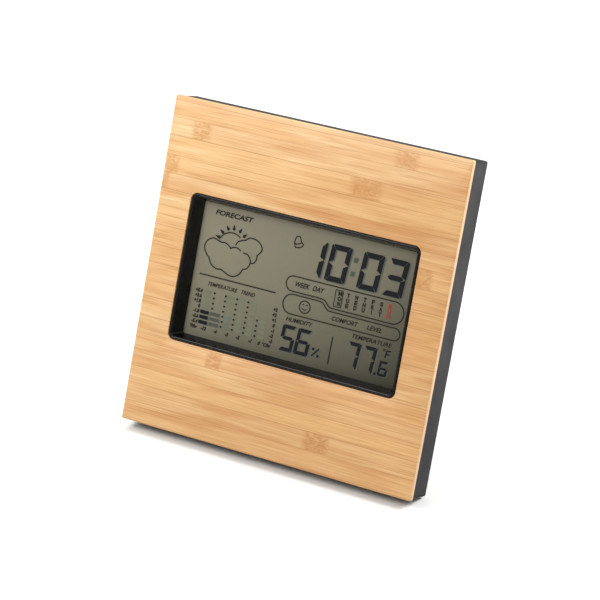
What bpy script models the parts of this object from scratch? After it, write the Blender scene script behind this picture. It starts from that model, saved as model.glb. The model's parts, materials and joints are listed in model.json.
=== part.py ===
"""Home weather station: a bamboo-faced desk display that leans back on a fold-out leg.

Everything is modelled in the slab's own frame (x to the right, y from the front face to the back,
z up the face, zero at the plate's bottom front edge) and hung on one empty that leans the slab back.
Run it with: blender --background --python part.py
"""
import math

import bmesh
import bpy
from mathutils import Matrix, Vector

MM = 0.001

# Driving dimensions, in millimetres and degrees
LEAN = 20.0
PLATE = 133.0
PLATE_THICK = 2.2
MID = PLATE / 2
EDGE_INSET = 0.3
HOUSING = PLATE - 2 * EDGE_INSET
HOUSING_FRONT = 2.4
HOUSING_BACK = 13.9
WALL = 2.0
WINDOW_W, WINDOW_H, WINDOW_R = 103.8, 60.0, 3.0
VIEW_W, VIEW_H = 96.2, 54.0
VIEW_DEPTH = 5.4
GAP = 0.3
RIM_FRONT, RIM_WIDTH = 0.1, 1.2
FLANGE_OUT = 5.2
TAPE_FLOOR = 3.2
TAPE_OUT, TAPE_W, TAPE_H = 129.0, 107.0, 63.2
TAPE_MARGIN = 1.0
HOUSING_FLOOR = HOUSING_FRONT + WALL
BOSS_R, PILOT_R = 3.0, 1.1
COVER_BOSS_TOP = 10.3
BOARD_BOSS_R = 2.4

COVER_THICK = 1.6
COVER_BACK = HOUSING_BACK - 0.1
COVER_FRONT = COVER_BACK - COVER_THICK
COVER_SIDE = HOUSING - 2 * WALL - 2 * GAP
POD_BACK = 18.8
POD_INNER = POD_BACK - COVER_THICK
POD_HALF = 57.0
POD_LOW, POD_HIGH = 8.0, 127.3
POD_MID = (0.0, (POD_LOW + POD_HIGH) / 2)
POD_SLOPE = 2.5
WELL_R, CUP_R = 2.7, 3.6
CUP_FRONT, WELL_FLOOR = 10.6, 11.8
VENT_X, VENT_WIDTH, VENT_HEIGHT = -43.0, 17.0, 1.4
VENT_Z = [18.0 + 3.2 * i for i in range(8)]
HANGER_HEAD_R, HANGER_SLOT_R, HANGER_RISE, HANGER_Z = 4.5, 2.3, 8.0, 82.5

GLASS_THICK, FILM_THICK = 1.0, 0.25
TRAY_W, TRAY_H = 109.6, 66.0
ZEBRA_HALF, ZEBRA_FROM_MID = 49.0, 29.5

BOARD_FRONT, BOARD_BACK = 9.7, 10.7
BOARD_HALF, BOARD_LOW, BOARD_HIGH = 61.5, 33.0, 99.6
KEY_TAB = (3.0, 54.0, 122.5)
BOARD_HOLE_R = 1.4
CHIP_AT, CRYSTAL_AT, CAPACITOR_AT = (36.0, 58.0), (40.0, 74.0), (-36.0, 86.0)
CRYSTAL_R, CRYSTAL_LEN = 1.5, 7.9
CAPACITOR_R, CAPACITOR_HIGH = 2.5, 5.4

CELL_R, CELL_LEN = 5.15, 43.4
CELL_NUB_R, CELL_NUB_LEN = 1.9, 0.9
CELL_DEPTH = 11.0
BOX_X = (-52.4, -1.6)
BOX_Z = (101.2, 122.8)
BOX_WALL = 1.2
CELL_Z = (106.55, 117.45)
DOOR_X = (-53.0, -1.0)
DOOR_Z = (100.7, 123.3)
HOOK_X = (-41.0, -13.0)
HOOK_HALF, HOOK_SLACK = 3.5, 0.4
HOOK_SECTION = [(-1.4, 0.3), (-1.4, 2.0), (-3.3, 2.0), (-3.3, -1.9), (-1.95, -1.9), (-1.95, 0.3)]
RIB_HALF, RIB_PITCH, SLIT_X = 5.0, 1.5, 6.5
CONTACT_HALF, CONTACT_THICK = 4.2, 0.3
SPRING_WIDE, SPRING_NARROW, SPRING_WIRE, SPRING_RUN = 3.6, 2.0, 0.3, 4.0

BUTTON_X = (14.0, 29.0, 44.0)
BUTTON_Z = (116.5, 106.5)
BUTTON_W, BUTTON_H = 10.0, 5.6
BUTTON_PROUD = 0.8
KEYPAD_W, KEYPAD_H, KEYPAD_THICK, KEYPAD_DOME = 45.0, 19.0, 0.9, 2.4

PIVOT_Y, PIVOT_Z = 17.0, 66.0
LEG_HALF, LEG_THICK = 23.6, 3.0
LEG_OPEN = 35.0
LEG_CORNER, LEG_BARREL_R = 5.0, 1.75
EAR_OUT, EAR_THICK, EAR_BORE_END = 28.0, 3.6, 27.0
PIN_R, PIN_HALF, PIN_SLACK = 1.0, 26.6, 0.08
RECESS_HALF, RECESS_FLOOR, RECESS_TOP = 24.2, 15.0, 69.0
PAD_THICK, PAD_HALF = 1.2, 15.0
FOOT_X, FOOT_HALF = 48.0, 7.0
FOOT_Y = (11.2, 13.4)
FOOT_DROP = 0.35

SENSOR_BOARD_X, SENSOR_BOARD_Y, SENSOR_BOARD_Z = (-50.0, -36.0), (13.0, 14.0), (21.6, 36.6)
HUMIDITY_X, HUMIDITY_Z = (-48.5, -41.5), (24.2, 34.0)
THERMISTOR_AT = (-40.0, 29.0)
SENSOR_RIB_Z = (22.8, 35.6)
BUZZER_AT, BUZZER_Y = (43.0, 29.0), (15.9, 16.2, 16.45)
BUZZER_R, BUZZER_CERAMIC_R = 10.0, 7.0
BUZZER_HOLE_R, BUZZER_HOLE_CIRCLE = 1.0, 4.6
RESET_AT, RESET_R = (43.0, 50.0), 0.9
LEAD_R = 0.5

COVER_SCREW, BOARD_SCREW = (6.5, 2.3), (5.5, 2.1)
COVER_SCREWS = [(x, z) for x in (-60.0, 60.0) for z in (8.5, 124.5)]
BOARD_SCREWS = [(x, z) for x in (-59.3, 59.3) for z in (40.0, 93.0)]

CORNER_STEPS = 4
ROUND = 20

lean = math.radians(LEAN)
ground = FOOT_Y[1] * math.sin(lean) + FOOT_DROP * math.cos(lean)


def height_above_ground(y, z):
    """How high a point of the slab stands above the table, in millimetres."""
    return z * math.cos(lean) - y * math.sin(lean) + ground


# Materials: one per real finish


def material(name, colour, roughness, metallic=0.0, transmission=0.0):
    made = bpy.data.materials.new(name)
    made.use_nodes = True
    shader = made.node_tree.nodes["Principled BSDF"]
    shader.inputs["Base Color"].default_value = (*colour, 1.0)
    shader.inputs["Roughness"].default_value = roughness
    shader.inputs["Metallic"].default_value = metallic
    shader.inputs["Transmission Weight"].default_value = transmission
    made.diffuse_color = (*colour, 1.0)
    return made


def make_materials():
    return {
        "bamboo": material("bamboo", (0.78, 0.50, 0.24), 0.5),
        "charcoal_abs": material("charcoal_abs", (0.06, 0.062, 0.065), 0.55),
        "gloss_black": material("gloss_black", (0.01, 0.01, 0.011), 0.2),
        "black_abs": material("black_abs", (0.025, 0.025, 0.027), 0.5),
        "tape": material("tape", (0.85, 0.85, 0.8), 0.7),
        "polariser": material("polariser", (0.3, 0.31, 0.25), 0.3),
        "glass": material("glass", (0.8, 0.85, 0.82), 0.05, transmission=0.9),
        "reflector": material("reflector", (0.35, 0.36, 0.3), 0.5),
        "white_abs": material("white_abs", (0.8, 0.8, 0.78), 0.5),
        "silicone": material("silicone", (0.3, 0.3, 0.32), 0.7),
        "board": material("board", (0.02, 0.18, 0.06), 0.4),
        "epoxy": material("epoxy", (0.01, 0.01, 0.01), 0.3),
        "steel": material("steel", (0.6, 0.6, 0.6), 0.3, metallic=1.0),
        "brass": material("brass", (0.7, 0.5, 0.2), 0.35, metallic=1.0),
        "cell_wrap": material("cell_wrap", (0.05, 0.14, 0.1), 0.35),
        "rubber": material("rubber", (0.03, 0.03, 0.03), 0.8),
        "red_lead": material("red_lead", (0.6, 0.02, 0.02), 0.5),
        "black_lead": material("black_lead", (0.02, 0.02, 0.02), 0.5),
        "sensor_white": material("sensor_white", (0.7, 0.72, 0.75), 0.5),
    }


# Shapes, each a bmesh in millimetres


def rounded_outline(width, height, radius, steps=CORNER_STEPS):
    """Points round a rectangle with rounded corners, in x and z about its middle."""
    points = []
    for turn, (sx, sz) in enumerate([(1, 1), (-1, 1), (-1, -1), (1, -1)]):
        cx = sx * (width / 2 - radius)
        cz = sz * (height / 2 - radius)
        for i in range(steps + 1):
            angle = math.radians(90 * (turn + i / steps))
            points.append((cx + radius * math.cos(angle), cz + radius * math.sin(angle)))
    return points


def skin(bm, loops, closed):
    """Joins loops of vertices, one after the other, with quads; closed joins the last to the first."""
    pairs = list(zip(loops, loops[1:]))
    if closed:
        pairs.append((loops[-1], loops[0]))
    for a, b in pairs:
        for i in range(len(a)):
            j = (i + 1) % len(a)
            bm.faces.new((a[i], a[j], b[j], b[i]))


def frame_shape(stations):
    """A picture-frame solid about the slab's middle; its section runs through (width, height, radius, y)."""
    bm = bmesh.new()
    loops = []
    for width, height, radius, y in stations:
        outline = rounded_outline(width, height, radius)
        loops.append([bm.verts.new((x, y, z + MID)) for x, z in outline])
    skin(bm, loops, closed=True)
    return finished(bm)


def block_shape(stations, middle=(0.0, MID), steps=CORNER_STEPS):
    """A solid slab lofted through (width, height, radius, y) stations and capped at both ends."""
    bm = bmesh.new()
    loops = []
    for width, height, radius, y in stations:
        outline = rounded_outline(width, height, radius, steps)
        loops.append([bm.verts.new((x + middle[0], y, z + middle[1])) for x, z in outline])
    skin(bm, loops, closed=False)
    bm.faces.new(loops[0])
    bm.faces.new(loops[-1])
    return finished(bm)


def box_shape(low, high):
    """A plain box between two corners."""
    bm = bmesh.new()
    size = Vector(high) - Vector(low)
    middle = (Vector(high) + Vector(low)) / 2
    bmesh.ops.create_cube(bm, size=1.0, matrix=Matrix.LocRotScale(middle, None, size))
    return finished(bm)


def turned_shape(profile, axis="y", segments=ROUND):
    """A solid turned about an axis through the origin: profile is (radius, place along the axis)."""
    bm = bmesh.new()
    loops = []
    for radius, along in profile:
        loop = []
        for i in range(segments):
            angle = 2 * math.pi * i / segments
            a, b = radius * math.cos(angle), radius * math.sin(angle)
            loop.append(bm.verts.new((a, along, b) if axis == "y" else (along, a, b)))
        loops.append(loop)
    skin(bm, loops, closed=False)
    bm.faces.new(loops[0])
    bm.faces.new(loops[-1])
    return finished(bm)


def eased_drum(radius, length, ease):
    """The profile of a plain drum whose two rims are eased, from 0 to its length."""
    return [(radius - ease, 0.0), (radius, ease), (radius, length - ease), (radius - ease, length)]


def extruded_shape(outline, low, high):
    """A solid with a (y, z) outline, drawn out along x."""
    bm = bmesh.new()
    loops = [[bm.verts.new((x, y, z)) for y, z in outline] for x in (low, high)]
    skin(bm, loops, closed=False)
    bm.faces.new(loops[0])
    bm.faces.new(loops[-1])
    return finished(bm)


def moved(bm, offset):
    bmesh.ops.translate(bm, vec=Vector(offset), verts=bm.verts)
    return bm


def joined(*shapes):
    """Several shapes that don't touch, in one mesh, for use as one cutter."""
    whole = bmesh.new()
    for bm in shapes:
        part = bpy.data.meshes.new("part")
        bm.to_mesh(part)
        bm.free()
        whole.from_mesh(part)
        bpy.data.meshes.remove(part)
    return whole


def finished(bm):
    bmesh.ops.recalc_face_normals(bm, faces=bm.faces)
    return bm


# Objects


def add(name, bm, mat, parent, at=(0.0, 0.0, 0.0), smooth_angle=40.0):
    """Makes an object of a bmesh in millimetres, at a place in its parent's frame."""
    mesh = bpy.data.meshes.new(name)
    bmesh.ops.scale(bm, vec=(MM, MM, MM), verts=bm.verts)
    bm.to_mesh(mesh)
    bm.free()
    mesh.materials.append(mat)
    mesh.shade_smooth()
    mesh.set_sharp_from_angle(angle=math.radians(smooth_angle))
    return add_copy(name, mesh, parent, at)


def add_copy(name, mesh, parent, at):
    """Another object of a mesh that is already made."""
    obj = bpy.data.objects.new(name, mesh)
    bpy.context.scene.collection.objects.link(obj)
    obj.parent = parent
    obj.location = Vector(at) * MM
    return obj


def empty(name, parent=None, at=(0.0, 0.0, 0.0), turn_x=0.0):
    obj = bpy.data.objects.new(name, None)
    bpy.context.scene.collection.objects.link(obj)
    obj.parent = parent
    obj.location = Vector(at) * MM
    obj.rotation_euler = (math.radians(turn_x), 0.0, 0.0)
    return obj


def combine(obj, operation, bm, mat):
    """Adds a Boolean whose other shape is a hidden helper in the same frame."""
    helper = add(f"helper_{obj.name}_{len(obj.modifiers)}", bm, mat, obj.parent)
    helper.hide_render = True
    helper.display_type = "WIRE"
    modifier = obj.modifiers.new(operation.lower(), "BOOLEAN")
    modifier.operation = operation
    modifier.solver = "EXACT"
    modifier.object = helper


def combine_at(obj, operation, bm, mat, at):
    """The same for a shape that is drawn about the object's own origin."""
    combine(obj, operation, moved(bm, at), mat)


def smooth_route(points, per_span):
    """A Catmull-Rom curve through hand-picked points."""
    ends = [points[0] * 2 - points[1], *points, points[-1] * 2 - points[-2]]
    route = []
    for a, b, c, d in zip(ends, ends[1:], ends[2:], ends[3:]):
        for i in range(per_span):
            t = i / per_span
            route.append(
                0.5 * ((2 * b) + (c - a) * t + (2 * a - 5 * b + 4 * c - d) * t**2
                       + (3 * b - a - 3 * c + d) * t**3)
            )
    route.append(points[-1])
    return route


def add_tube(name, points, radius, mat, parent, resolution=2):
    """A round wire along a list of points in millimetres."""
    curve = bpy.data.curves.new(name, "CURVE")
    curve.dimensions = "3D"
    curve.bevel_depth = radius * MM
    curve.bevel_resolution = resolution
    curve.use_fill_caps = True
    spline = curve.splines.new("POLY")
    spline.points.add(len(points) - 1)
    for point, place in zip(spline.points, points):
        point.co = (*(Vector(place) * MM), 1.0)
    curve.materials.append(mat)
    obj = bpy.data.objects.new(name, curve)
    bpy.context.scene.collection.objects.link(obj)
    obj.parent = parent
    return obj


# The front: plate, housing, bezel


def make_bamboo_plate(mats, slab):
    ease = 0.3
    bm = frame_shape([
        (PLATE - 2 * ease, PLATE - 2 * ease, 0.4, 0.0),
        (PLATE, PLATE, 0.6, ease),
        (PLATE, PLATE, 0.6, PLATE_THICK),
        (WINDOW_W, WINDOW_H, WINDOW_R, PLATE_THICK),
        (WINDOW_W, WINDOW_H, WINDOW_R, 0.2),
        (WINDOW_W + 0.4, WINDOW_H + 0.4, WINDOW_R + 0.2, 0.0),
    ])
    add("bamboo_plate", bm, mats["bamboo"], slab)


def make_plate_tape(mats, slab):
    outer = (TAPE_OUT - TAPE_MARGIN, TAPE_OUT - TAPE_MARGIN, 1.0)
    inner = (TAPE_W + TAPE_MARGIN, TAPE_H + TAPE_MARGIN, 1.5)
    back = TAPE_FLOOR - 0.2
    bm = frame_shape([(*outer, HOUSING_FRONT), (*outer, back), (*inner, back), (*inner, HOUSING_FRONT)])
    add("plate_tape", bm, mats["tape"], slab)


def make_front_housing(mats, slab):
    inner = HOUSING - 2 * WALL
    open_w, open_h = WINDOW_W + 0.6, WINDOW_H + 0.6
    bm = frame_shape([
        (HOUSING, HOUSING, 1.0, HOUSING_FRONT),
        (HOUSING, HOUSING, 1.0, HOUSING_BACK - 0.3),
        (HOUSING - 0.6, HOUSING - 0.6, 0.8, HOUSING_BACK),
        (inner, inner, 0.6, HOUSING_BACK),
        (inner, inner, 0.6, HOUSING_FLOOR),
        (open_w, open_h, WINDOW_R, HOUSING_FLOOR),
        (open_w, open_h, WINDOW_R, HOUSING_FRONT),
        (TAPE_W, TAPE_H, 2.0, HOUSING_FRONT),
        (TAPE_W, TAPE_H, 2.0, TAPE_FLOOR),
        (TAPE_OUT, TAPE_OUT, 1.0, TAPE_FLOOR),
        (TAPE_OUT, TAPE_OUT, 1.0, HOUSING_FRONT),
    ])
    housing = add("front_housing", bm, mats["charcoal_abs"], slab)
    root = HOUSING_FLOOR - 0.4
    bosses = [
        moved(turned_shape([(BOSS_R, root), (BOSS_R, COVER_BOSS_TOP)]), (x, 0, z))
        for x, z in COVER_SCREWS
    ] + [
        moved(turned_shape([(BOARD_BOSS_R, root), (BOARD_BOSS_R, BOARD_FRONT - 0.2)]), (x, 0, z))
        for x, z in BOARD_SCREWS
    ]
    combine(housing, "UNION", joined(*bosses), mats["charcoal_abs"])
    pilots = [
        moved(turned_shape([(PILOT_R, HOUSING_FLOOR + 0.3), (PILOT_R, HOUSING_BACK)], segments=12),
              (x, 0, z))
        for x, z in COVER_SCREWS + BOARD_SCREWS
    ]
    combine(housing, "DIFFERENCE", joined(*pilots), mats["charcoal_abs"])


def make_bezel_frame(mats, slab):
    out_w, out_h = WINDOW_W - 2 * GAP, WINDOW_H - 2 * GAP
    in_w, in_h = out_w - 2 * RIM_WIDTH, out_h - 2 * RIM_WIDTH
    flange = HOUSING_FLOOR + 0.25
    bm = frame_shape([
        (out_w, out_h, 2.7, RIM_FRONT + 0.3),
        (out_w - 0.6, out_h - 0.6, 2.4, RIM_FRONT),
        (in_w + 0.4, in_h + 0.4, 1.7, RIM_FRONT),
        (in_w, in_h, 1.5, RIM_FRONT + 0.2),
        (VIEW_W, VIEW_H, 0.8, VIEW_DEPTH - 0.5),
        (VIEW_W, VIEW_H, 0.8, VIEW_DEPTH),
        (out_w + FLANGE_OUT, out_h + FLANGE_OUT, 1.5, VIEW_DEPTH),
        (out_w + FLANGE_OUT, out_h + FLANGE_OUT, 1.5, flange),
        (out_w, out_h, 2.7, flange),
    ])
    add("bezel_frame", bm, mats["gloss_black"], slab)


# The display


def make_display(mats, slab):
    """The display's sheets from front to back, the tray round them and the strips that feed them."""
    sheets = [
        ("front_polariser", 100.0, 57.4, VIEW_DEPTH + 0.2, FILM_THICK, "polariser"),
        ("lcd_front_glass", 104.0, 62.0, VIEW_DEPTH + 0.6, GLASS_THICK, "glass"),
        ("lcd_rear_glass", 104.0, 55.6, VIEW_DEPTH + 1.75, GLASS_THICK, "glass"),
        ("lcd_reflector", 102.0, 55.0, VIEW_DEPTH + 2.9, FILM_THICK, "reflector"),
    ]
    for name, width, height, front, thick, mat in sheets:
        bm = block_shape([(width, height, 0.3, front), (width, height, 0.3, front + thick)], steps=1)
        add(name, bm, mats[mat], slab)
    ring = frame_shape([
        (TRAY_W, TRAY_H, 1.5, VIEW_DEPTH + 0.2),
        (TRAY_W, TRAY_H, 1.5, BOARD_FRONT - 0.2),
        (TRAY_W - 5.0, TRAY_H - 3.4, 0.5, BOARD_FRONT - 0.2),
        (TRAY_W - 5.0, TRAY_H - 3.4, 0.5, VIEW_DEPTH + 0.2),
    ])
    add("lcd_tray", ring, mats["white_abs"], slab)
    strip_back = BOARD_FRONT - 0.1
    strip_front = VIEW_DEPTH + 1.7
    for name, z in (("zebra_strip_top", MID + ZEBRA_FROM_MID), ("zebra_strip_bottom", MID - ZEBRA_FROM_MID)):
        bm = box_shape((-ZEBRA_HALF, strip_front, z - 1.1), (ZEBRA_HALF, strip_back, z + 1.1))
        add(name, bm, mats["silicone"], slab)


# The circuit board and what it carries


def board_outline():
    tab_low, tab_high, tab_top = KEY_TAB
    return [
        (-BOARD_HALF, BOARD_LOW), (BOARD_HALF, BOARD_LOW), (BOARD_HALF, BOARD_HIGH),
        (tab_high, BOARD_HIGH), (tab_high, tab_top), (tab_low, tab_top),
        (tab_low, BOARD_HIGH), (-BOARD_HALF, BOARD_HIGH),
    ]


def make_main_board(mats, slab):
    bm = bmesh.new()
    loops = [[bm.verts.new((x, y, z)) for x, z in board_outline()] for y in (BOARD_FRONT, BOARD_BACK)]
    skin(bm, loops, closed=False)
    bm.faces.new(loops[0])
    bm.faces.new(loops[1])
    board = add("main_board", finished(bm), mats["board"], slab)
    holes = [
        moved(turned_shape([(BOARD_HOLE_R, BOARD_FRONT - 1), (BOARD_HOLE_R, BOARD_BACK + 1)], segments=12),
              (x, 0, z))
        for x, z in BOARD_SCREWS
    ]
    combine(board, "DIFFERENCE", joined(*holes), mats["board"])


def make_board_parts(mats, slab):
    """The bonded chip under its blob of epoxy, the clock crystal's can and the supply capacitor."""
    top = BOARD_BACK + 0.15
    blob = turned_shape([(6.5, 0.0), (6.3, 0.5), (5.2, 1.1), (3.2, 1.5), (1.2, 1.65)])
    add("chip_blob", blob, mats["epoxy"], slab, at=(CHIP_AT[0], top, CHIP_AT[1]))
    can = turned_shape(eased_drum(CRYSTAL_R, CRYSTAL_LEN, 0.2), axis="x", segments=12)
    add("clock_crystal", can, mats["steel"], slab, at=(CRYSTAL_AT[0], top + CRYSTAL_R + 0.1, CRYSTAL_AT[1]))
    drum = turned_shape(eased_drum(CAPACITOR_R, CAPACITOR_HIGH, 0.3), segments=16)
    add("supply_capacitor", drum, mats["black_abs"], slab, at=(CAPACITOR_AT[0], top, CAPACITOR_AT[1]))


def make_keys(mats, slab):
    """The silicone mat with a dome for each key, and six capped keys whose stems reach the domes."""
    sheet_front = BOARD_BACK + 0.2
    sheet_back = sheet_front + KEYPAD_THICK
    keypad_mid = (sum(BUTTON_X) / 3, sum(BUTTON_Z) / 2)
    sheet = block_shape([(KEYPAD_W, KEYPAD_H, 1.5, y) for y in (sheet_front, sheet_back)], keypad_mid)
    keypad = add("silicone_keypad", sheet, mats["silicone"], slab)
    dome_top = sheet_front + KEYPAD_DOME
    domes = [
        moved(turned_shape([(3.4, sheet_front + 0.4), (3.4, sheet_back), (2.2, dome_top - 0.3),
                            (1.9, dome_top)], segments=16), (x, 0, z))
        for x in BUTTON_X for z in BUTTON_Z
    ]
    combine(keypad, "UNION", joined(*domes), mats["silicone"])

    flange = POD_INNER - 0.2
    cap_back = POD_BACK + BUTTON_PROUD
    stem_end = dome_top + BUTTON_PROUD + 0.1
    stem, skirt = (3.0, 3.0, 1.49), (BUTTON_W + 2.0, BUTTON_H + 2.0, 3.79)
    body, top = (BUTTON_W, BUTTON_H, 2.79), (BUTTON_W - 0.8, BUTTON_H - 0.8, 2.39)
    cap = [
        (*stem, stem_end), (*stem, flange - 1.0), (*skirt, flange - 1.0), (*skirt, flange),
        (*body, flange), (*body, cap_back - 0.4), (*top, cap_back),
    ]
    mesh = None
    for number, (z, x) in enumerate(((z, x) for z in BUTTON_Z for x in BUTTON_X), 1):
        name = f"button_{number}"
        at = (x, POD_BACK, z)
        if mesh is None:
            shape = moved(block_shape(cap, (0.0, 0.0)), (0, -POD_BACK, 0))
            mesh = add(name, shape, mats["black_abs"], slab, at=at).data
        else:
            add_copy(name, mesh, slab, at)


def make_sensors(mats, slab):
    """The humidity sensor and the thermistor on a board behind the vents, and the buzzer's brass disc."""
    front, back = SENSOR_BOARD_Y
    (left, right), (low, high) = SENSOR_BOARD_X, SENSOR_BOARD_Z
    add("sensor_board", box_shape((left, front, low), (right, back, high)), mats["board"], slab)
    (left, right), (low, high) = HUMIDITY_X, HUMIDITY_Z
    cap = box_shape((left, back + 0.2, low), (right, back + 1.7, high))
    add("humidity_sensor", cap, mats["sensor_white"], slab)
    bead = turned_shape([(0.5, 0.0), (1.1, 0.7), (1.3, 1.6), (1.1, 2.5), (0.5, 3.2)], axis="x", segments=12)
    add("thermistor", bead, mats["epoxy"], slab, at=(THERMISTOR_AT[0], back + 1.5, THERMISTOR_AT[1]))
    disc_front, disc_step, disc_back = BUZZER_Y
    disc = turned_shape([(BUZZER_R, disc_front), (BUZZER_R, disc_step), (BUZZER_CERAMIC_R, disc_step),
                         (BUZZER_CERAMIC_R, disc_back)], segments=28)
    add("piezo_buzzer", disc, mats["brass"], slab, at=(BUZZER_AT[0], 0, BUZZER_AT[1]))


# The rear cover


def pod_stations(inset, low_y, shoulder_y, high_y):
    """The raised back of the cover, drawn in by inset on every side."""
    width = 2 * (POD_HALF - inset)
    height = POD_HIGH - POD_LOW - 2 * inset
    return [
        (width, height, 3.0, low_y),
        (width, height, 3.0, shoulder_y),
        (width - 2 * POD_SLOPE, height - 2 * POD_SLOPE, 2.0, high_y),
    ]


def cover_blocks():
    """What stands inside the cover: the battery box, the leg's recess and ears, the screw cups."""
    box = box_shape(
        (BOX_X[0] - BOX_WALL, CELL_DEPTH - CELL_R - 1.25, BOX_Z[0] - BOX_WALL),
        (BOX_X[1] + BOX_WALL, POD_INNER + 0.5, BOX_Z[1] + BOX_WALL),
    )
    recess = box_shape(
        (-RECESS_HALF - COVER_THICK, RECESS_FLOOR - COVER_THICK, POD_LOW + 1.0),
        (RECESS_HALF + COVER_THICK, POD_INNER + 0.5, RECESS_TOP + COVER_THICK),
    )
    return box, recess


def cover_ears_and_cups():
    """The ears that hold the leg's pin, the cups for the screws and the ribs under the sensor board."""
    ears = [
        box_shape((x - EAR_THICK / 2, RECESS_FLOOR - COVER_THICK + 0.3, PIVOT_Z - 4),
                  (x + EAR_THICK / 2, POD_INNER + 0.6, PIVOT_Z + 4))
        for x in (EAR_THICK / 2 - EAR_OUT, EAR_OUT - EAR_THICK / 2)
    ]
    cups = [
        moved(turned_shape([(CUP_R, CUP_FRONT), (CUP_R, COVER_FRONT + 0.5)]), (x, 0, z))
        for x, z in COVER_SCREWS
    ]
    sensor_ribs = [
        box_shape((-49, SENSOR_BOARD_Y[1] + 0.3, z - 0.6), (-37, POD_INNER + 0.5, z + 0.6))
        for z in SENSOR_RIB_Z
    ]
    return [*ears, *cups, *sensor_ribs]


def cover_openings():
    """Everything that goes through or into the cover, as cutters that don't touch each other."""
    through = (POD_INNER - 1.0, POD_BACK + 1.0)
    cell_floor = CELL_DEPTH - CELL_R - 0.25
    cutters = [
        box_shape((BOX_X[0], cell_floor, BOX_Z[0]), (BOX_X[1], POD_INNER + 0.2, BOX_Z[1])),
    ]
    for x in BUTTON_X:
        for z in BUTTON_Z:
            hole = (BUTTON_W + 2 * GAP, BUTTON_H + 2 * GAP, BUTTON_H / 2 + GAP - 0.01)
            cutters.append(block_shape([(*hole, through[0]), (*hole, through[1])], (x, z)))
    for z in VENT_Z:
        vent = [(VENT_WIDTH, VENT_HEIGHT, VENT_HEIGHT / 2 - 0.01, y) for y in through]
        cutters.append(block_shape(vent, (VENT_X, z), steps=2))
    round_holes = [(*BUZZER_AT, BUZZER_HOLE_R), (*RESET_AT, RESET_R)]
    for i in range(6):
        angle = math.radians(60 * i)
        round_holes.append((BUZZER_AT[0] + BUZZER_HOLE_CIRCLE * math.cos(angle),
                            BUZZER_AT[1] + BUZZER_HOLE_CIRCLE * math.sin(angle), BUZZER_HOLE_R))
    for x, z, radius in round_holes:
        cutters.append(moved(turned_shape([(radius, y) for y in through], segments=10), (x, 0, z)))
    for x, z in COVER_SCREWS:
        profile = [(1.4, CUP_FRONT - 1), (1.4, WELL_FLOOR), (WELL_R, WELL_FLOOR), (WELL_R, COVER_BACK + 1)]
        cutters.append(moved(turned_shape(profile), (x, 0, z)))
    return cutters


def keyhole_shape():
    """A wall hanger: a round hole for the screw's head, with a narrow slot above it."""
    through = (POD_INNER - 1.0, POD_BACK + 1.0)
    outline = []
    join = math.asin(HANGER_SLOT_R / HANGER_HEAD_R)
    for i in range(17):
        angle = math.pi / 2 + join + (2 * math.pi - 2 * join) * i / 16
        outline.append((HANGER_HEAD_R * math.cos(angle), HANGER_HEAD_R * math.sin(angle)))
    for i in range(9):
        angle = math.pi * i / 8
        outline.append((HANGER_SLOT_R * math.cos(angle), HANGER_RISE + HANGER_SLOT_R * math.sin(angle)))
    bm = bmesh.new()
    loops = [[bm.verts.new((x, y, z + HANGER_Z)) for x, z in outline] for y in through]
    skin(bm, loops, closed=False)
    bm.faces.new(loops[0])
    bm.faces.new(loops[1])
    return finished(bm)


def make_rear_cover(mats, slab):
    mat = mats["charcoal_abs"]
    plate = block_shape([(COVER_SIDE, COVER_SIDE, 1.0, y) for y in (COVER_FRONT, COVER_BACK)])
    cover = add("rear_cover", plate, mat, slab)
    pod = pod_stations(0.0, COVER_FRONT + 0.4, COVER_BACK, POD_BACK)
    combine(cover, "UNION", block_shape(pod, POD_MID), mat)
    cavity = pod_stations(COVER_THICK, COVER_FRONT - 1.0, COVER_FRONT, POD_INNER)
    combine(cover, "DIFFERENCE", block_shape(cavity, POD_MID), mat)
    for block in cover_blocks():
        combine(cover, "UNION", block, mat)
    combine(cover, "UNION", joined(*cover_ears_and_cups()), mat)
    combine(cover, "DIFFERENCE", joined(*cover_openings()), mat)
    leg_space = box_shape((-RECESS_HALF, RECESS_FLOOR, -1.0), (RECESS_HALF, POD_BACK + 1.0, RECESS_TOP))
    combine(cover, "DIFFERENCE", leg_space, mat)
    door_w, door_h = DOOR_X[1] - DOOR_X[0], DOOR_Z[1] - DOOR_Z[0]
    door_mid = (sum(DOOR_X) / 2, sum(DOOR_Z) / 2)
    door_space = block_shape([(door_w, door_h, 1.2, y) for y in (POD_INNER - 0.1, POD_BACK + 1)], door_mid)
    combine(cover, "DIFFERENCE", door_space, mat)
    notches = [
        box_shape((x - HOOK_HALF - HOOK_SLACK, 14.5, BOX_Z[0] - BOX_WALL - 1.0),
                  (x + HOOK_HALF + HOOK_SLACK, POD_INNER - 0.05, BOX_Z[0] + 0.5))
        for x in HOOK_X
    ]
    lead_ways = [
        moved(turned_shape([(0.9, -3.0), (0.9, 0.5)], axis="x", segments=10), (0, 14.5, z)) for z in CELL_Z
    ]
    bores = [
        moved(turned_shape([(PIN_R + PIN_SLACK, a), (PIN_R + PIN_SLACK, b)], axis="x", segments=16),
              (0, PIVOT_Y, PIVOT_Z))
        for a, b in ((-EAR_BORE_END, -RECESS_HALF + 1), (RECESS_HALF - 1, EAR_BORE_END))
    ]
    combine(cover, "DIFFERENCE", joined(*notches, *lead_ways, *bores, keyhole_shape()), mat)


# The battery box


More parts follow.
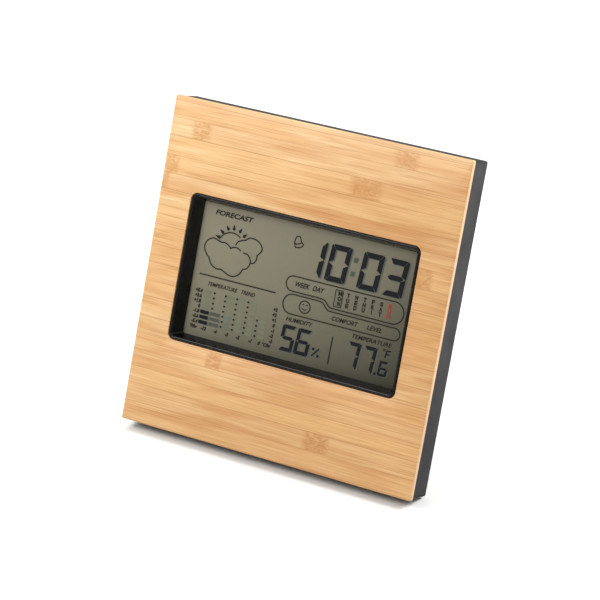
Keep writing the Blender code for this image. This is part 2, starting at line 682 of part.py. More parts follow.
def make_battery_door(mats, slab):
    """The door swings on the outer line of its lower edge, where two hooks reach under the cover."""
    hinge = (sum(DOOR_X) / 2, POD_BACK, DOOR_Z[0] + 0.15)
    width = DOOR_X[1] - DOOR_X[0] - 2 * GAP
    height = DOOR_Z[1] - DOOR_Z[0] - 2 * GAP
    low = DOOR_Z[0] + GAP - hinge[2]
    middle = (0.0, low + height / 2)
    plate = block_shape([
        (width, height, 0.9, -COVER_THICK + 0.1),
        (width, height, 0.9, -0.3),
        (width - 0.5, height - 0.5, 0.7, 0.0),
    ], middle)
    door = add("battery_door", plate, mats["charcoal_abs"], slab, at=hinge)
    hooks = []
    for x in HOOK_X:
        dx = x - hinge[0]
        hooks.append(extruded_shape(HOOK_SECTION, dx - HOOK_HALF + HOOK_SLACK, dx + HOOK_HALF - HOOK_SLACK))
    combine_at(door, "UNION", joined(*hooks), mats["charcoal_abs"], hinge)
    top = low + height
    ribs = [
        box_shape((-RIB_HALF, -0.5, top - 4.6 - RIB_PITCH * i), (RIB_HALF, 0.3, top - 3.9 - RIB_PITCH * i))
        for i in range(3)
    ]
    combine_at(door, "UNION", joined(*ribs), mats["charcoal_abs"], hinge)
    slits = [box_shape((x - 0.3, -3, top - 6), (x + 0.3, 1, top + 1)) for x in (-SLIT_X, SLIT_X)]
    combine_at(door, "DIFFERENCE", joined(*slits), mats["charcoal_abs"], hinge)


def make_cells(mats, slab):
    """Two AAA cells, nose to tail, with their contacts."""
    profile = [
        (CELL_R - 0.5, 0.0), (CELL_R, 0.4), (CELL_R, CELL_LEN - 0.4), (CELL_R - 0.5, CELL_LEN),
        (CELL_NUB_R, CELL_LEN), (CELL_NUB_R, CELL_LEN + CELL_NUB_LEN),
    ]
    nub_room = 0.9
    reach = nub_room + CELL_NUB_LEN + CELL_LEN
    upper = add("battery_cell_upper", turned_shape([(r, -a) for r, a in profile], axis="x"),
                mats["cell_wrap"], slab, at=(BOX_X[0] + reach, CELL_DEPTH, CELL_Z[1]))
    lower = add_copy("battery_cell_lower", upper.data, slab, (BOX_X[1] - reach, CELL_DEPTH, CELL_Z[0]))
    lower.rotation_euler = (0.0, 0.0, math.pi)

    left, right = BOX_X[0] + 0.2, BOX_X[1] - 0.2
    low_y, high_y = CELL_DEPTH - CONTACT_HALF, CELL_DEPTH + CONTACT_HALF
    link = box_shape((left, low_y, CELL_Z[0] - CONTACT_HALF),
                     (left + CONTACT_THICK, high_y, CELL_Z[1] + CONTACT_HALF))
    add("battery_link_plate", link, mats["steel"], slab)
    for name, z in (("plus_contact", CELL_Z[0]), ("minus_contact", CELL_Z[1])):
        tab = box_shape((right - CONTACT_THICK, low_y, z - CONTACT_HALF), (right, high_y, z + CONTACT_HALF))
        add(name, tab, mats["steel"], slab)
    inset = CONTACT_THICK + 0.55
    make_spring("cell_spring_left", left + inset, SPRING_RUN, CELL_Z[0], mats, slab)
    make_spring("cell_spring_right", right - inset, -SPRING_RUN, CELL_Z[1], mats, slab)


def make_spring(name, start, run, z, mats, slab):
    """A conical contact spring of steel wire that runs from start along x."""
    turns, per_turn = 3.5, 12
    steps = int(turns * per_turn)
    points = []
    for i in range(steps + 1):
        t = i / steps
        angle = 2 * math.pi * turns * t
        radius = SPRING_WIDE + (SPRING_NARROW - SPRING_WIDE) * t
        points.append((start + run * t, CELL_DEPTH + radius * math.cos(angle), z + radius * math.sin(angle)))
    add_tube(name, points, SPRING_WIRE, mats["steel"], slab, resolution=1)


# The fold-out leg


def leg_length():
    """From the pivot to the rubber's underside, so that the open leg just reaches the table."""
    return height_above_ground(PIVOT_Y, PIVOT_Z) / math.cos(math.radians(LEG_OPEN - LEAN))


def make_leg(mats, slab):
    """The leg is drawn folded, about its pivot, and its empty opens it."""
    pivot = empty("leg_pivot", slab, (0.0, PIVOT_Y, PIVOT_Z), LEG_OPEN)
    tilt = math.tan(math.radians(LEG_OPEN - LEAN))
    half = LEG_THICK / 2
    end = -leg_length() + (PAD_THICK + 0.15) / math.cos(math.radians(LEG_OPEN - LEAN))
    heel = [(-half, 0.9), (-0.6, 2.25), (0.3, 2.25)]
    outline = list(heel)
    for i in range(7):
        angle = math.radians(60 - 85 * i / 6)
        outline.append((LEG_BARREL_R * math.cos(angle), LEG_BARREL_R * math.sin(angle)))
    outline += [(half, -1.4), (half, end - half * tilt), (-half, end + half * tilt)]
    leg = add("fold_out_leg", extruded_shape(outline, -LEG_HALF, LEG_HALF), mats["charcoal_abs"], pivot)
    bore_r = PIN_R + PIN_SLACK
    bore = turned_shape([(bore_r, -LEG_HALF - 1), (bore_r, LEG_HALF + 1)], axis="x", segments=16)
    combine(leg, "DIFFERENCE", bore, mats["charcoal_abs"])
    for side in (-1, 1):
        wedge = corner_cutter(side, LEG_CORNER, end)
        combine(leg, "DIFFERENCE", wedge, mats["charcoal_abs"])

    pad_y = half - 0.3
    pad_top = -leg_length() + PAD_THICK / math.cos(math.radians(LEG_OPEN - LEAN))
    pad_low = -leg_length()
    pad = extruded_shape(
        [(-pad_y, pad_top + pad_y * tilt), (pad_y, pad_top - pad_y * tilt),
         (pad_y, pad_low - pad_y * tilt), (-pad_y, pad_low + pad_y * tilt)], -PAD_HALF, PAD_HALF)
    add("leg_foot_pad", pad, mats["rubber"], pivot)
    pin = turned_shape([(PIN_R - 0.2, -PIN_HALF), (PIN_R, -PIN_HALF + 0.3), (PIN_R, PIN_HALF - 0.3),
                        (PIN_R - 0.2, PIN_HALF)], axis="x", segments=16)
    add("leg_hinge_pin", pin, mats["steel"], slab, at=(0, PIVOT_Y, PIVOT_Z))


def corner_cutter(side, size, end):
    """Takes one lower corner off the leg, at 45 degrees."""
    bm = bmesh.new()
    low = end - 3.0
    outline = [(side * (LEG_HALF + 1), low), (side * (LEG_HALF - size - 3.0), low),
               (side * (LEG_HALF + 1), end + size + 1.0)]
    loops = [[bm.verts.new((x, y, z)) for x, z in outline] for y in (-LEG_THICK, LEG_THICK)]
    skin(bm, loops, closed=False)
    bm.faces.new(loops[0])
    bm.faces.new(loops[1])
    return finished(bm)


def make_base_pads(mats, slab):
    """Two rubber wedges under the rear edge give the slab a flat, level footing."""
    front, back = FOOT_Y
    top = EDGE_INSET - 0.1
    slope = math.tan(lean)
    outline = [(front, top), (back, top), (back, -FOOT_DROP), (front, -FOOT_DROP - (back - front) * slope)]
    mesh = None
    for name, x in (("base_pad_left", -FOOT_X), ("base_pad_right", FOOT_X)):
        if mesh is None:
            wedge = extruded_shape(outline, -FOOT_HALF, FOOT_HALF)
            mesh = add(name, wedge, mats["rubber"], slab, at=(x, 0, 0)).data
        else:
            add_copy(name, mesh, slab, (x, 0, 0))


# Fasteners and leads


def add_screw(name, length, head_r, mats, slab, at):
    """A pan-head self-tapping screw, its head towards +y, with a cross recess."""
    shank = 1.0
    profile = [
        (0.3, -length), (shank, -length + 1.2), (shank, 0.0), (head_r, 0.0), (head_r, 0.7),
        (head_r - 0.6, 1.3),
    ]
    screw = add(name, turned_shape(profile, segments=14), mats["steel"], slab, at=at)
    for w, h in ((head_r * 1.1, 0.5), (0.5, head_r * 1.1)):
        slot = box_shape((-w / 2, 0.7, -h / 2), (w / 2, 2.0, h / 2))
        combine_at(screw, "DIFFERENCE", slot, mats["steel"], at)


def make_screws(mats, slab):
    for i, (x, z) in enumerate(COVER_SCREWS, 1):
        add_screw(f"cover_screw_{i}", *COVER_SCREW, mats, slab, (x, WELL_FLOOR + 0.1, z))
    for i, (x, z) in enumerate(BOARD_SCREWS, 1):
        add_screw(f"board_screw_{i}", *BOARD_SCREW, mats, slab, (x, BOARD_BACK + 0.1, z))


def make_leads(mats, slab):
    """Thin insulated leads inside the case, each with its ends a hair off what it is soldered to."""
    board = BOARD_BACK + 0.7
    routes = {
        "battery_lead_plus": ("red_lead", [
            (-1.5, 14.5, CELL_Z[0]), (0.6, 14.5, 106.3), (1.4, 14.2, 103.5), (1.0, 13.2, 99.5),
            (0.5, board, 95.5)]),
        "battery_lead_minus": ("black_lead", [
            (-1.5, 14.5, CELL_Z[1]), (0.6, 14.5, 117.2), (3.4, 14.6, 113.0), (4.2, 14.2, 105.0),
            (5.0, 13.2, 99.0), (7.5, board, 95.0)]),
        "buzzer_lead_plus": ("red_lead", [
            (45.0, 15.2, 27.0), (49.5, 14.6, 30.0), (51.5, 13.4, 36.0), (51.0, board, 42.0)]),
        "buzzer_lead_minus": ("black_lead", [
            (42.0, 15.2, 36.0), (43.0, 14.2, 39.5), (44.5, 13.0, 42.0), (45.0, board, 45.0)]),
        "sensor_lead": ("black_lead", [
            (-43.0, 13.5, 36.9), (-43.5, 13.3, 39.5), (-44.5, 12.6, 42.5), (-45.0, board, 46.5)]),
    }
    for name, (mat, route) in routes.items():
        add_tube(name, smooth_route([Vector(p) for p in route], 4), LEAD_R, mats[mat], slab)


def stand_on_origin(slab):
    """Moves the whole model so that its box's bottom centre is at the origin."""
    bpy.context.view_layer.update()
    graph = bpy.context.evaluated_depsgraph_get()
    depths = []
    for obj in bpy.context.scene.objects:
        if obj.type == "MESH" and not obj.hide_render:
            shown = obj.evaluated_get(graph)
            depths += [(shown.matrix_world @ vertex.co).y for vertex in shown.to_mesh().vertices]
            shown.to_mesh_clear()
    slab.location.y -= (min(depths) + max(depths)) / 2


def main():
    for obj in list(bpy.data.objects):
        bpy.data.objects.remove(obj)
    mats = make_materials()
    slab = empty("slab_frame", turn_x=-LEAN)
    slab.location.z = ground * MM
    make_bamboo_plate(mats, slab)
    make_plate_tape(mats, slab)
    make_front_housing(mats, slab)
    make_bezel_frame(mats, slab)
    make_display(mats, slab)
    make_main_board(mats, slab)
    make_board_parts(mats, slab)
    make_keys(mats, slab)
    make_sensors(mats, slab)
    make_rear_cover(mats, slab)
    make_battery_door(mats, slab)
    make_cells(mats, slab)
    make_leg(mats, slab)
    make_base_pads(mats, slab)
    make_screws(mats, slab)
    make_leads(mats, slab)
    stand_on_origin(slab)


main()
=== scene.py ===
import json
import math

import bmesh
import bpy
from mathutils import Matrix, Vector


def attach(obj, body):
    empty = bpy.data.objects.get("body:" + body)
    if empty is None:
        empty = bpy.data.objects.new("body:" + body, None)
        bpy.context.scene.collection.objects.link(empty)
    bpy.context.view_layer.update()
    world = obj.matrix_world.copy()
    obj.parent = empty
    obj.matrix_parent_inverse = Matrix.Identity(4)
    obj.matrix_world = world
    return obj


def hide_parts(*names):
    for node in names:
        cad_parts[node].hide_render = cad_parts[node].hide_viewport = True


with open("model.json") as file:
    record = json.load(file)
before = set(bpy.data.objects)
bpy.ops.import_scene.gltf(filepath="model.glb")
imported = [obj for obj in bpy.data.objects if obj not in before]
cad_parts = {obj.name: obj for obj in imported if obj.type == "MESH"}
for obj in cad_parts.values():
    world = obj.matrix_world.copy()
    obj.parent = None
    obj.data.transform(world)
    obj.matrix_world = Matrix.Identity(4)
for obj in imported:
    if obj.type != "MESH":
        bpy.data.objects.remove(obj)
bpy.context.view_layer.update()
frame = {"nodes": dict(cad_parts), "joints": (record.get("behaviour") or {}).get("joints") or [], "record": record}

# The slab's own frame, in millimetres: x to the right, y from the face to the back, z up the face,
# zero at the middle of the plate's bottom front edge. Every shape below is drawn in it.
LEAN = math.radians(20)
PLATE = 133.0
MID = PLATE / 2
PLATE_THICK = 2.2
PIVOT = Vector((0.0, 17.0, 66.0))
WINDOW_W, WINDOW_H = 103.8, 60.0
RIM_W, RIM_H = 103.2, 59.4
VIEW_W, VIEW_H, VIEW_DEPTH = 96.2, 54.0, 5.4
FILM_FRONT = 5.6
POD_BACK = 18.8
LEG_OPEN = math.radians(35)

hinge = next(joint for joint in frame["joints"] if joint["name"] == "leg_hinge")
SLAB = (
    Matrix.Translation(hinge["pos_m"])
    @ Matrix.Rotation(-LEAN, 4, "X")
    @ Matrix.Scale(0.001, 4)
    @ Matrix.Translation(-PIVOT)
)
FROM_WORLD = SLAB.inverted()


# Materials


def linear(code):
    """An sRGB hex colour as the linear RGBA that shaders take."""
    parts = [int(code[i : i + 2], 16) / 255 for i in (1, 3, 5)]
    return (*[c / 12.92 if c <= 0.04045 else ((c + 0.055) / 1.055) ** 2.4 for c in parts], 1.0)


def add_node(tree, kind, links=None, stops=None, **settings):
    """Adds a shader node with its settings, its links or fixed inputs, and a colour ramp's stops."""
    made = tree.nodes.new("ShaderNode" + kind)
    for name, value in settings.items():
        setattr(made, name, value)
    for socket, source in (links or {}).items():
        if isinstance(source, bpy.types.NodeSocket):
            tree.links.new(source, made.inputs[socket])
        else:
            made.inputs[socket].default_value = source
    if stops:
        ramp = made.color_ramp
        while len(ramp.elements) < len(stops):
            ramp.elements.new(1.0)
        for element, (place, colour) in zip(ramp.elements, stops):
            element.position = place
            element.color = linear(colour) if isinstance(colour, str) else (colour,) * 3 + (1.0,)
    return made


def new_material(name, colour="#808080", **shader):
    """A named material, its tree and its shader, with the shader's plain inputs set."""
    mat = bpy.data.materials.new(name)
    mat.use_nodes = True
    principled = mat.node_tree.nodes["Principled BSDF"]
    principled.inputs["Base Color"].default_value = linear(colour)
    for socket, value in shader.items():
        principled.inputs[socket.replace("_", " ")].default_value = value
    return mat, mat.node_tree, principled


def slab_place(tree, scale=(1.0, 1.0, 1.0)):
    """A point's place in the slab's frame, in millimetres, stretched by scale."""
    coordinates = add_node(tree, "TexCoord")
    turned = add_node(tree, "Mapping", {
        "Vector": coordinates.outputs["Object"],
        "Location": FROM_WORLD.to_translation(),
        "Rotation": (LEAN, 0.0, 0.0),
        "Scale": (1000.0,) * 3,
    })
    if scale == (1.0, 1.0, 1.0):
        return turned.outputs["Vector"]
    stretched = add_node(tree, "VectorMath", {0: turned.outputs["Vector"], 1: scale},
                         operation="MULTIPLY")
    return stretched.outputs["Vector"]


# The strips are counted down from the first seam. Before the seams wander, it lies this far below the
# plate's top edge.
STRIP = 7.25
FIRST_SEAM = 3.7
# Seams wander upwards by up to this much, over this distance down the face.
SEAM_DRIFT, DRIFT_SPAN = 3.4, 26
# Each strip's grain is moved along it by up to this much, so that no two look alike.
GRAIN_SHIFT = 137.0
# End grain shows this far in from the two sides.
END_GRAIN = 0.2
# Place across the face less place up it, where the painted shade towards the lower right corner begins and where
# it is full.
PAINTED_SHADE_FROM, PAINTED_SHADE_TO = -180.0, -20.0
# Each knot: its strip, the place of its middle from the left edge, and its length. Out from its middle it
# is solid to the first of these shares of its length, and gone at the second.
KNOT_CORE, KNOT_FADE = 0.35, 0.62
KNOTS = [(0, 105.5, 10.0), (1, 14.5, 8.5), (2, 90.5, 13.0), (3, 3.5, 6.0), (4, 1.5, 3.0),
         (6, 121.0, 8.0), (13, 37.5, 7.0), (16, 88.5, 11.0)]


def bamboo():
    """Flat-pressed natural bamboo under satin lacquer.

    Strips 7 mm wide are glued edge to edge: each has its own tint, its fibres run its whole length,
    and where the stem had a node the strip shows a darker, ruffled patch.
    """
    mat, tree, shader = new_material("Bamboo, pressed strips, satin lacquer", Roughness=0.42)
    shader.inputs["Coat Weight"].default_value = 0.12
    shader.inputs["Coat Roughness"].default_value = 0.28
    place = slab_place(tree)
    xyz = add_node(tree, "SeparateXYZ", {"Vector": place})
    down = add_node(tree, "Math", {0: PLATE - FIRST_SEAM, 1: xyz.outputs["Z"]}, operation="SUBTRACT")
    # Strips are sawn to slightly different widths
    drift = add_node(tree, "TexNoise", {"W": down.outputs[0], "Scale": 1 / DRIFT_SPAN, "Detail": 0.0},
                     noise_dimensions="1D")
    drifted = add_node(tree, "Math", {0: drift.outputs[0], 1: SEAM_DRIFT, 2: down.outputs[0]},
                       operation="MULTIPLY_ADD")
    counted = add_node(tree, "Math", {0: drifted.outputs[0], 1: STRIP}, operation="DIVIDE")
    strip = add_node(tree, "Math", {0: counted.outputs[0]}, operation="FLOOR")
    across = add_node(tree, "Math", {0: counted.outputs[0]}, operation="FRACT")
    tint = add_node(tree, "TexWhiteNoise", {"W": strip.outputs[0]}, noise_dimensions="1D")

    # Fibre bundles, about 0.4 mm apart, running dead straight
    shift = add_node(tree, "Math", {0: tint.outputs["Value"], 1: GRAIN_SHIFT, 2: xyz.outputs["X"]},
                     operation="MULTIPLY_ADD")
    grain_place = add_node(tree, "CombineXYZ", {"X": shift.outputs[0], "Y": xyz.outputs["Y"],
                                                "Z": xyz.outputs["Z"]})
    grains = {}
    for name, stretch, detail in (("fine", (1 / 26, 1 / 0.8, 1 / 0.36), 3.0),
                                  ("broad", (1 / 90, 1 / 3, 1 / 1.2), 3.0),
                                  ("dark", (1 / 45, 1 / 0.7, 1 / 0.5), 1.0),
                                  ("patch", (1 / 60, 1 / 8, 1 / 7.0), 1.0)):
        stretched = add_node(tree, "VectorMath", {0: grain_place.outputs[0], 1: stretch},
                             operation="MULTIPLY")
        noise = add_node(tree, "TexNoise", {"Vector": stretched.outputs[0], "Scale": 1.0, "Detail": detail,
                                            "Roughness": 0.6})
        grains[name] = noise.outputs[0]
    fine_share = add_node(tree, "Math", {0: grains["fine"], 1: 0.8}, operation="MULTIPLY")
    fibres = add_node(tree, "Math", {0: grains["broad"], 1: 0.2, 2: fine_share.outputs[0]},
                      operation="MULTIPLY_ADD")
    wood = add_node(tree, "ValToRGB", {"Fac": fibres.outputs[0]},
                    stops=[(0.34, "#C69A66"), (0.43, "#D8B383"), (0.50, "#DFBB8B"), (0.62, "#E8C99D")])

    # Strip to strip, and slowly along each strip
    blotch = add_node(tree, "Math", {0: tint.outputs["Value"], 1: 0.5, 2: grains["patch"]},
                      operation="MULTIPLY_ADD")
    cast = add_node(tree, "ValToRGB", {"Fac": blotch.outputs[0]},
                    stops=[(0.36, "#E5C49D"), (0.66, "#FFFCF6"), (0.80, "#EFD9BC"), (0.98, "#FFF6E8")])
    toned = add_node(tree, "Mix", {0: 0.85, 6: wood.outputs[0], 7: cast.outputs[0]},
                     data_type="RGBA", blend_type="MULTIPLY")

    # A few bundles are darker than the rest
    bundle = add_node(tree, "MapRange", {"Value": grains["dark"], "From Min": 0.64, "From Max": 0.76,
                                         "To Min": 0.0, "To Max": 0.6})
    veined = add_node(tree, "Mix", {0: bundle.outputs[0], 6: toned.outputs[2], 7: linear("#B07A45")},
                      data_type="RGBA")

    # Glue lines, hair thin and of uneven strength
    off_middle = add_node(tree, "Math", {0: across.outputs[0], 1: 0.5}, operation="SUBTRACT")
    towards_seam = add_node(tree, "Math", {0: off_middle.outputs[0]}, operation="ABSOLUTE")
    line = add_node(tree, "MapRange", {"Value": towards_seam.outputs[0], "From Min": 0.474, "From Max": 0.492,
                                       "To Min": 0.0, "To Max": 1.0})
    strength = add_node(tree, "MapRange", {"Value": grains["broad"], "From Min": 0.35, "From Max": 0.6,
                                           "To Min": 0.12, "To Max": 0.70})
    glue = add_node(tree, "Math", {0: line.outputs[0], 1: strength.outputs[0]}, operation="MULTIPLY")
    seamed = add_node(tree, "Mix", {0: glue.outputs[0], 6: veined.outputs[2], 7: linear("#9C6838")},
                      data_type="RGBA")

    # Knots
    knots = None
    for row, from_left, length in KNOTS:
        in_strip = add_node(tree, "Math", {0: strip.outputs[0], 1: float(row), 2: 0.1}, operation="COMPARE")
        aside = add_node(tree, "Math", {0: xyz.outputs["X"], 1: from_left - MID}, operation="SUBTRACT")
        distance = add_node(tree, "Math", {0: aside.outputs[0]}, operation="ABSOLUTE")
        inside = add_node(tree, "MapRange", {"Value": distance.outputs[0], "From Min": length * KNOT_CORE,
                                             "From Max": length * KNOT_FADE, "To Min": 1.0, "To Max": 0.0})
        spot = add_node(tree, "Math", {0: in_strip.outputs[0], 1: inside.outputs[0]}, operation="MULTIPLY")
        if knots is None:
            knots = spot.outputs[0]
        else:
            knots = add_node(tree, "Math", {0: knots, 1: spot.outputs[0]}, operation="MAXIMUM").outputs[0]
    ruffle = add_node(tree, "TexNoise", {"Vector": slab_place(tree, (1 / 2.6, 1 / 2.0, 1 / 1.3)),
                                         "Scale": 1.0, "Detail": 3.0, "Roughness": 0.65, "Distortion": 1.2})
    speckle = add_node(tree, "MapRange", {"Value": ruffle.outputs[0], "From Min": 0.38, "From Max": 0.62,
                                          "To Min": 0.15, "To Max": 0.8})
    knotty = add_node(tree, "Math", {0: knots, 1: speckle.outputs[0]}, operation="MULTIPLY")
    knotted = add_node(tree, "Mix", {0: knotty.outputs[0], 6: seamed.outputs[2], 7: linear("#BC8344")},
                       data_type="RGBA")
    # Painted shade: the board's colour is darkened towards its lower right corner
    diagonal = add_node(tree, "Math", {0: xyz.outputs["X"], 1: xyz.outputs["Z"]}, operation="SUBTRACT")
    painted_shade_share = add_node(tree, "MapRange", {"Value": diagonal.outputs[0],
                                                 "From Min": PAINTED_SHADE_FROM, "From Max": PAINTED_SHADE_TO})
    painted_shade = add_node(tree, "Mix", {0: 1.0, 6: knotted.outputs[2], 7: linear("#E4DACB")},
                      data_type="RGBA", blend_type="MULTIPLY")
    with_painted_shade = add_node(tree, "Mix", {0: painted_shade_share.outputs[0], 6: knotted.outputs[2],
                                   7: painted_shade.outputs[2]}, data_type="RGBA")
    # The two ends of the strips show paler, duller end grain
    outward = add_node(tree, "Math", {0: xyz.outputs["X"]}, operation="ABSOLUTE")
    at_end = add_node(tree, "Math", {0: outward.outputs[0], 1: MID - END_GRAIN}, operation="GREATER_THAN")
    end_share = add_node(tree, "Math", {0: at_end.outputs[0], 1: 0.55}, operation="MULTIPLY")
    final = add_node(tree, "Mix", {0: end_share.outputs[0], 6: with_painted_shade.outputs[2], 7: linear("#C9A98A")},
                     data_type="RGBA")
    tree.links.new(final.outputs[2], shader.inputs["Base Color"])

    relief = add_node(tree, "Math", {0: grains["fine"], 1: line.outputs[0]}, operation="SUBTRACT")
    bump = add_node(tree, "Bump", {"Height": relief.outputs[0], "Strength": 0.25, "Distance": 0.00004})
    tree.links.new(bump.outputs[0], shader.inputs["Normal"])
    gloss = add_node(tree, "MapRange", {"Value": grains["fine"], "To Min": 0.36, "To Max": 0.52})
    tree.links.new(gloss.outputs[0], shader.inputs["Roughness"])
    return mat


def moulded_plastic(name, colour, tops, grit, roughness, depth=0.02):
    """Injection-moulded ABS from a spark-eroded tool: a fine even pebble that breaks up the gloss.

    The real pebble is about 0.1 mm, and is drawn three or more times as coarse so that it shows.
    The pebble's tops are coloured a shade lighter than its hollows.
    """
    mat, tree, shader = new_material(name, colour, Roughness=roughness, IOR=1.53,
                                     Specular_IOR_Level=0.12)
    pebble = add_node(tree, "TexNoise", {"Vector": slab_place(tree), "Scale": 1 / grit, "Detail": 2.0,
                                         "Roughness": 0.55})
    bump = add_node(tree, "Bump", {"Height": pebble.outputs[0], "Strength": 0.5, "Distance": depth / 1000})
    tree.links.new(bump.outputs[0], shader.inputs["Normal"])
    sweep = add_node(tree, "TexNoise", {"Vector": slab_place(tree), "Scale": 1 / 14, "Detail": 2.0})
    gloss = add_node(tree, "MapRange", {"Value": sweep.outputs[0], "From Min": 0.3, "From Max": 0.7,
                                        "To Min": roughness - 0.06, "To Max": roughness + 0.06})
    tree.links.new(gloss.outputs[0], shader.inputs["Roughness"])
    shade = add_node(tree, "Mix", {0: pebble.outputs[0], 6: linear(colour), 7: linear(tops)},
                     data_type="RGBA")
    tree.links.new(shade.outputs[2], shader.inputs["Base Color"])
    return mat


def gloss_black():
    """Polished black ABS: nearly a mirror at a glancing angle, with the faint waves of a moulded face."""
    mat, tree, shader = new_material("ABS, polished black", "#060606", Roughness=0.3, IOR=1.53,
                                     Specular_IOR_Level=0.3)
    waves = add_node(tree, "TexNoise", {"Vector": slab_place(tree), "Scale": 1 / 9, "Detail": 1.0})
    bump = add_node(tree, "Bump", {"Height": waves.outputs[0], "Strength": 0.15, "Distance": 0.00005})
    tree.links.new(bump.outputs[0], shader.inputs["Normal"])
    haze = add_node(tree, "MapRange", {"Value": waves.outputs[0], "To Min": 0.20, "To Max": 0.32})
    tree.links.new(haze.outputs[0], shader.inputs["Roughness"])
    return mat


def display_film():
    """Anti-glare polarising film over a grey-green reflective display.

    The film's etched surface is a very fine sparkle, and painted shade darkens the display towards its lower right
    corner.
    """
    mat, tree, shader = new_material("Polarising film, anti-glare", "#86826F", Roughness=0.38, IOR=1.49,
                                     Specular_IOR_Level=0.25)
    # Painted shade: the display's colour darkens from its upper left to its lower right corner
    xyz = add_node(tree, "SeparateXYZ", {"Vector": slab_place(tree)})
    slope = add_node(tree, "Math", {0: xyz.outputs["X"], 1: -0.55, 2: xyz.outputs["Z"]},
                     operation="MULTIPLY_ADD")
    painted_shade_amount = add_node(tree, "MapRange", {"Value": slope.outputs[0], "From Min": 12.0, "From Max": 120.0})
    shade = add_node(tree, "ValToRGB", {"Fac": painted_shade_amount.outputs[0]},
                     stops=[(0.0, "#38372A"), (0.5, "#6C6958"), (1.0, "#837D6B")])
    sparkle = add_node(tree, "TexNoise", {"Vector": slab_place(tree), "Scale": 1 / 0.25, "Detail": 1.0})
    grain = add_node(tree, "Mix", {0: 0.10, 6: shade.outputs[0], 7: sparkle.outputs[1]},
                     data_type="RGBA", blend_type="SOFT_LIGHT")
    tree.links.new(grain.outputs[2], shader.inputs["Base Color"])
    bump = add_node(tree, "Bump", {"Height": sparkle.outputs[0], "Strength": 0.3, "Distance": 0.00001})
    tree.links.new(bump.outputs[0], shader.inputs["Normal"])
    return mat


INK_MOTTLE = 0.06


def ink(name, colour, roughness=0.45):
    """Screen-printed or switched-on display ink: flat, with a little uneven density."""
    mat, tree, shader = new_material(name, colour, Roughness=roughness, Specular_IOR_Level=0.15)
    density = add_node(tree, "TexNoise", {"Vector": slab_place(tree), "Scale": 1 / 0.8, "Detail": 2.0})
    thin = [min(1.0, c * (1 + 3 * INK_MOTTLE) + INK_MOTTLE * 0.05) for c in linear(colour)]
    shade = add_node(tree, "Mix", {0: density.outputs[0], 6: linear(colour), 7: thin}, data_type="RGBA")
    tree.links.new(shade.outputs[2], shader.inputs["Base Color"])
    return mat


def rubber():
    """Moulded rubber pads: matt, slightly dusty black with a soft sheen at the edge of sight."""
    mat, tree, shader = new_material("Rubber, moulded", "#1B1B1C", Roughness=0.78)
    shader.inputs["Sheen Weight"].default_value = 0.15
    dust = add_node(tree, "TexNoise", {"Vector": slab_place(tree), "Scale": 1 / 1.2, "Detail": 4.0})
    shade = add_node(tree, "ValToRGB", {"Fac": dust.outputs[0]}, stops=[(0.35, "#161617"), (0.8, "#2B2B2C")])
    tree.links.new(shade.outputs[0], shader.inputs["Base Color"])
    return mat


# The lay's marks are about 6 mm long and 0.2 mm apart.
METAL_LAY = (1 / 6, 1 / 0.2, 1 / 0.2)


def metal(name, colour, roughness):
    """Plated or bare sheet metal with the fine lay that rolling or drawing leaves."""
    mat, tree, shader = new_material(name, colour, Metallic=1.0, Roughness=roughness)
    rolled = add_node(tree, "TexNoise", {"Vector": slab_place(tree, METAL_LAY), "Scale": 1.0, "Detail": 3.0})
    gloss = add_node(tree, "MapRange", {"Value": rolled.outputs[0], "To Min": roughness * 0.6,
                                        "To Max": roughness * 1.5})
    tree.links.new(gloss.outputs[0], shader.inputs["Roughness"])
    return mat


# The lower and the upper cell's middle across the face, the height that parts them, and half lengths.
CELL_MIDDLES = (-25.1, -28.9)
CELLS_PART = 112.0
SLEEVE_HALF, CELL_HALF = 21.2, 22.0


def cell_sleeve():
    """A printed shrink sleeve over a steel can, whose two ends stay bare."""
    mat, tree, shader = new_material("Battery cell, sleeve and bare steel ends", "#1E4A39", Roughness=0.3)
    xyz = add_node(tree, "SeparateXYZ", {"Vector": slab_place(tree)})
    is_upper = add_node(tree, "Math", {0: xyz.outputs["Z"], 1: CELLS_PART}, operation="GREATER_THAN")
    middle = add_node(tree, "MapRange", {"Value": is_upper.outputs[0], "To Min": CELL_MIDDLES[0],
                                          "To Max": CELL_MIDDLES[1]})
    aside = add_node(tree, "Math", {0: xyz.outputs["X"], 1: middle.outputs[0]}, operation="SUBTRACT")
    along = add_node(tree, "Math", {0: aside.outputs[0]}, operation="ABSOLUTE")
    bare = add_node(tree, "Math", {0: along.outputs[0], 1: SLEEVE_HALF}, operation="GREATER_THAN")
    share = add_node(tree, "Math", {0: along.outputs[0], 1: CELL_HALF}, operation="DIVIDE")
    band = add_node(tree, "ValToRGB", {"Fac": share.outputs[0]},
                    stops=[(0.0, "#17503A"), (0.62, "#17503A"), (0.66, "#C9A23C"), (0.72, "#17503A")])
    colour = add_node(tree, "Mix", {0: bare.outputs[0], 6: band.outputs[0], 7: linear("#C6C3BC")},
                      data_type="RGBA")
    tree.links.new(colour.outputs[2], shader.inputs["Base Color"])
    tree.links.new(bare.outputs[0], shader.inputs["Metallic"])
    return mat


def circuit_board():
    """Green solder mask over glass cloth: the weave shows faintly through, 0.5 mm apart."""
    mat, tree, shader = new_material("Solder mask, green", "#0E4A22", Roughness=0.32)
    weave = add_node(tree, "TexWave", {"Vector": slab_place(tree), "Scale": 0.32, "Distortion": 0.4})
    shade = add_node(tree, "ValToRGB", {"Fac": weave.outputs[1]}, stops=[(0.0, "#0B3F1C"), (1.0, "#145A2B")])
    tree.links.new(shade.outputs[0], shader.inputs["Base Color"])
    return mat


def clear_glass():
    """Float glass, faintly green."""
    mat, tree, shader = new_material("Glass, display", "#DDE6E0", Roughness=0.04, IOR=1.52)
    shader.inputs["Transmission Weight"].default_value = 1.0
    wave = add_node(tree, "TexNoise", {"Vector": slab_place(tree), "Scale": 1 / 20})
    bump = add_node(tree, "Bump", {"Height": wave.outputs[0], "Strength": 0.1, "Distance": 0.00002})
    tree.links.new(bump.outputs[0], shader.inputs["Normal"])
    return mat


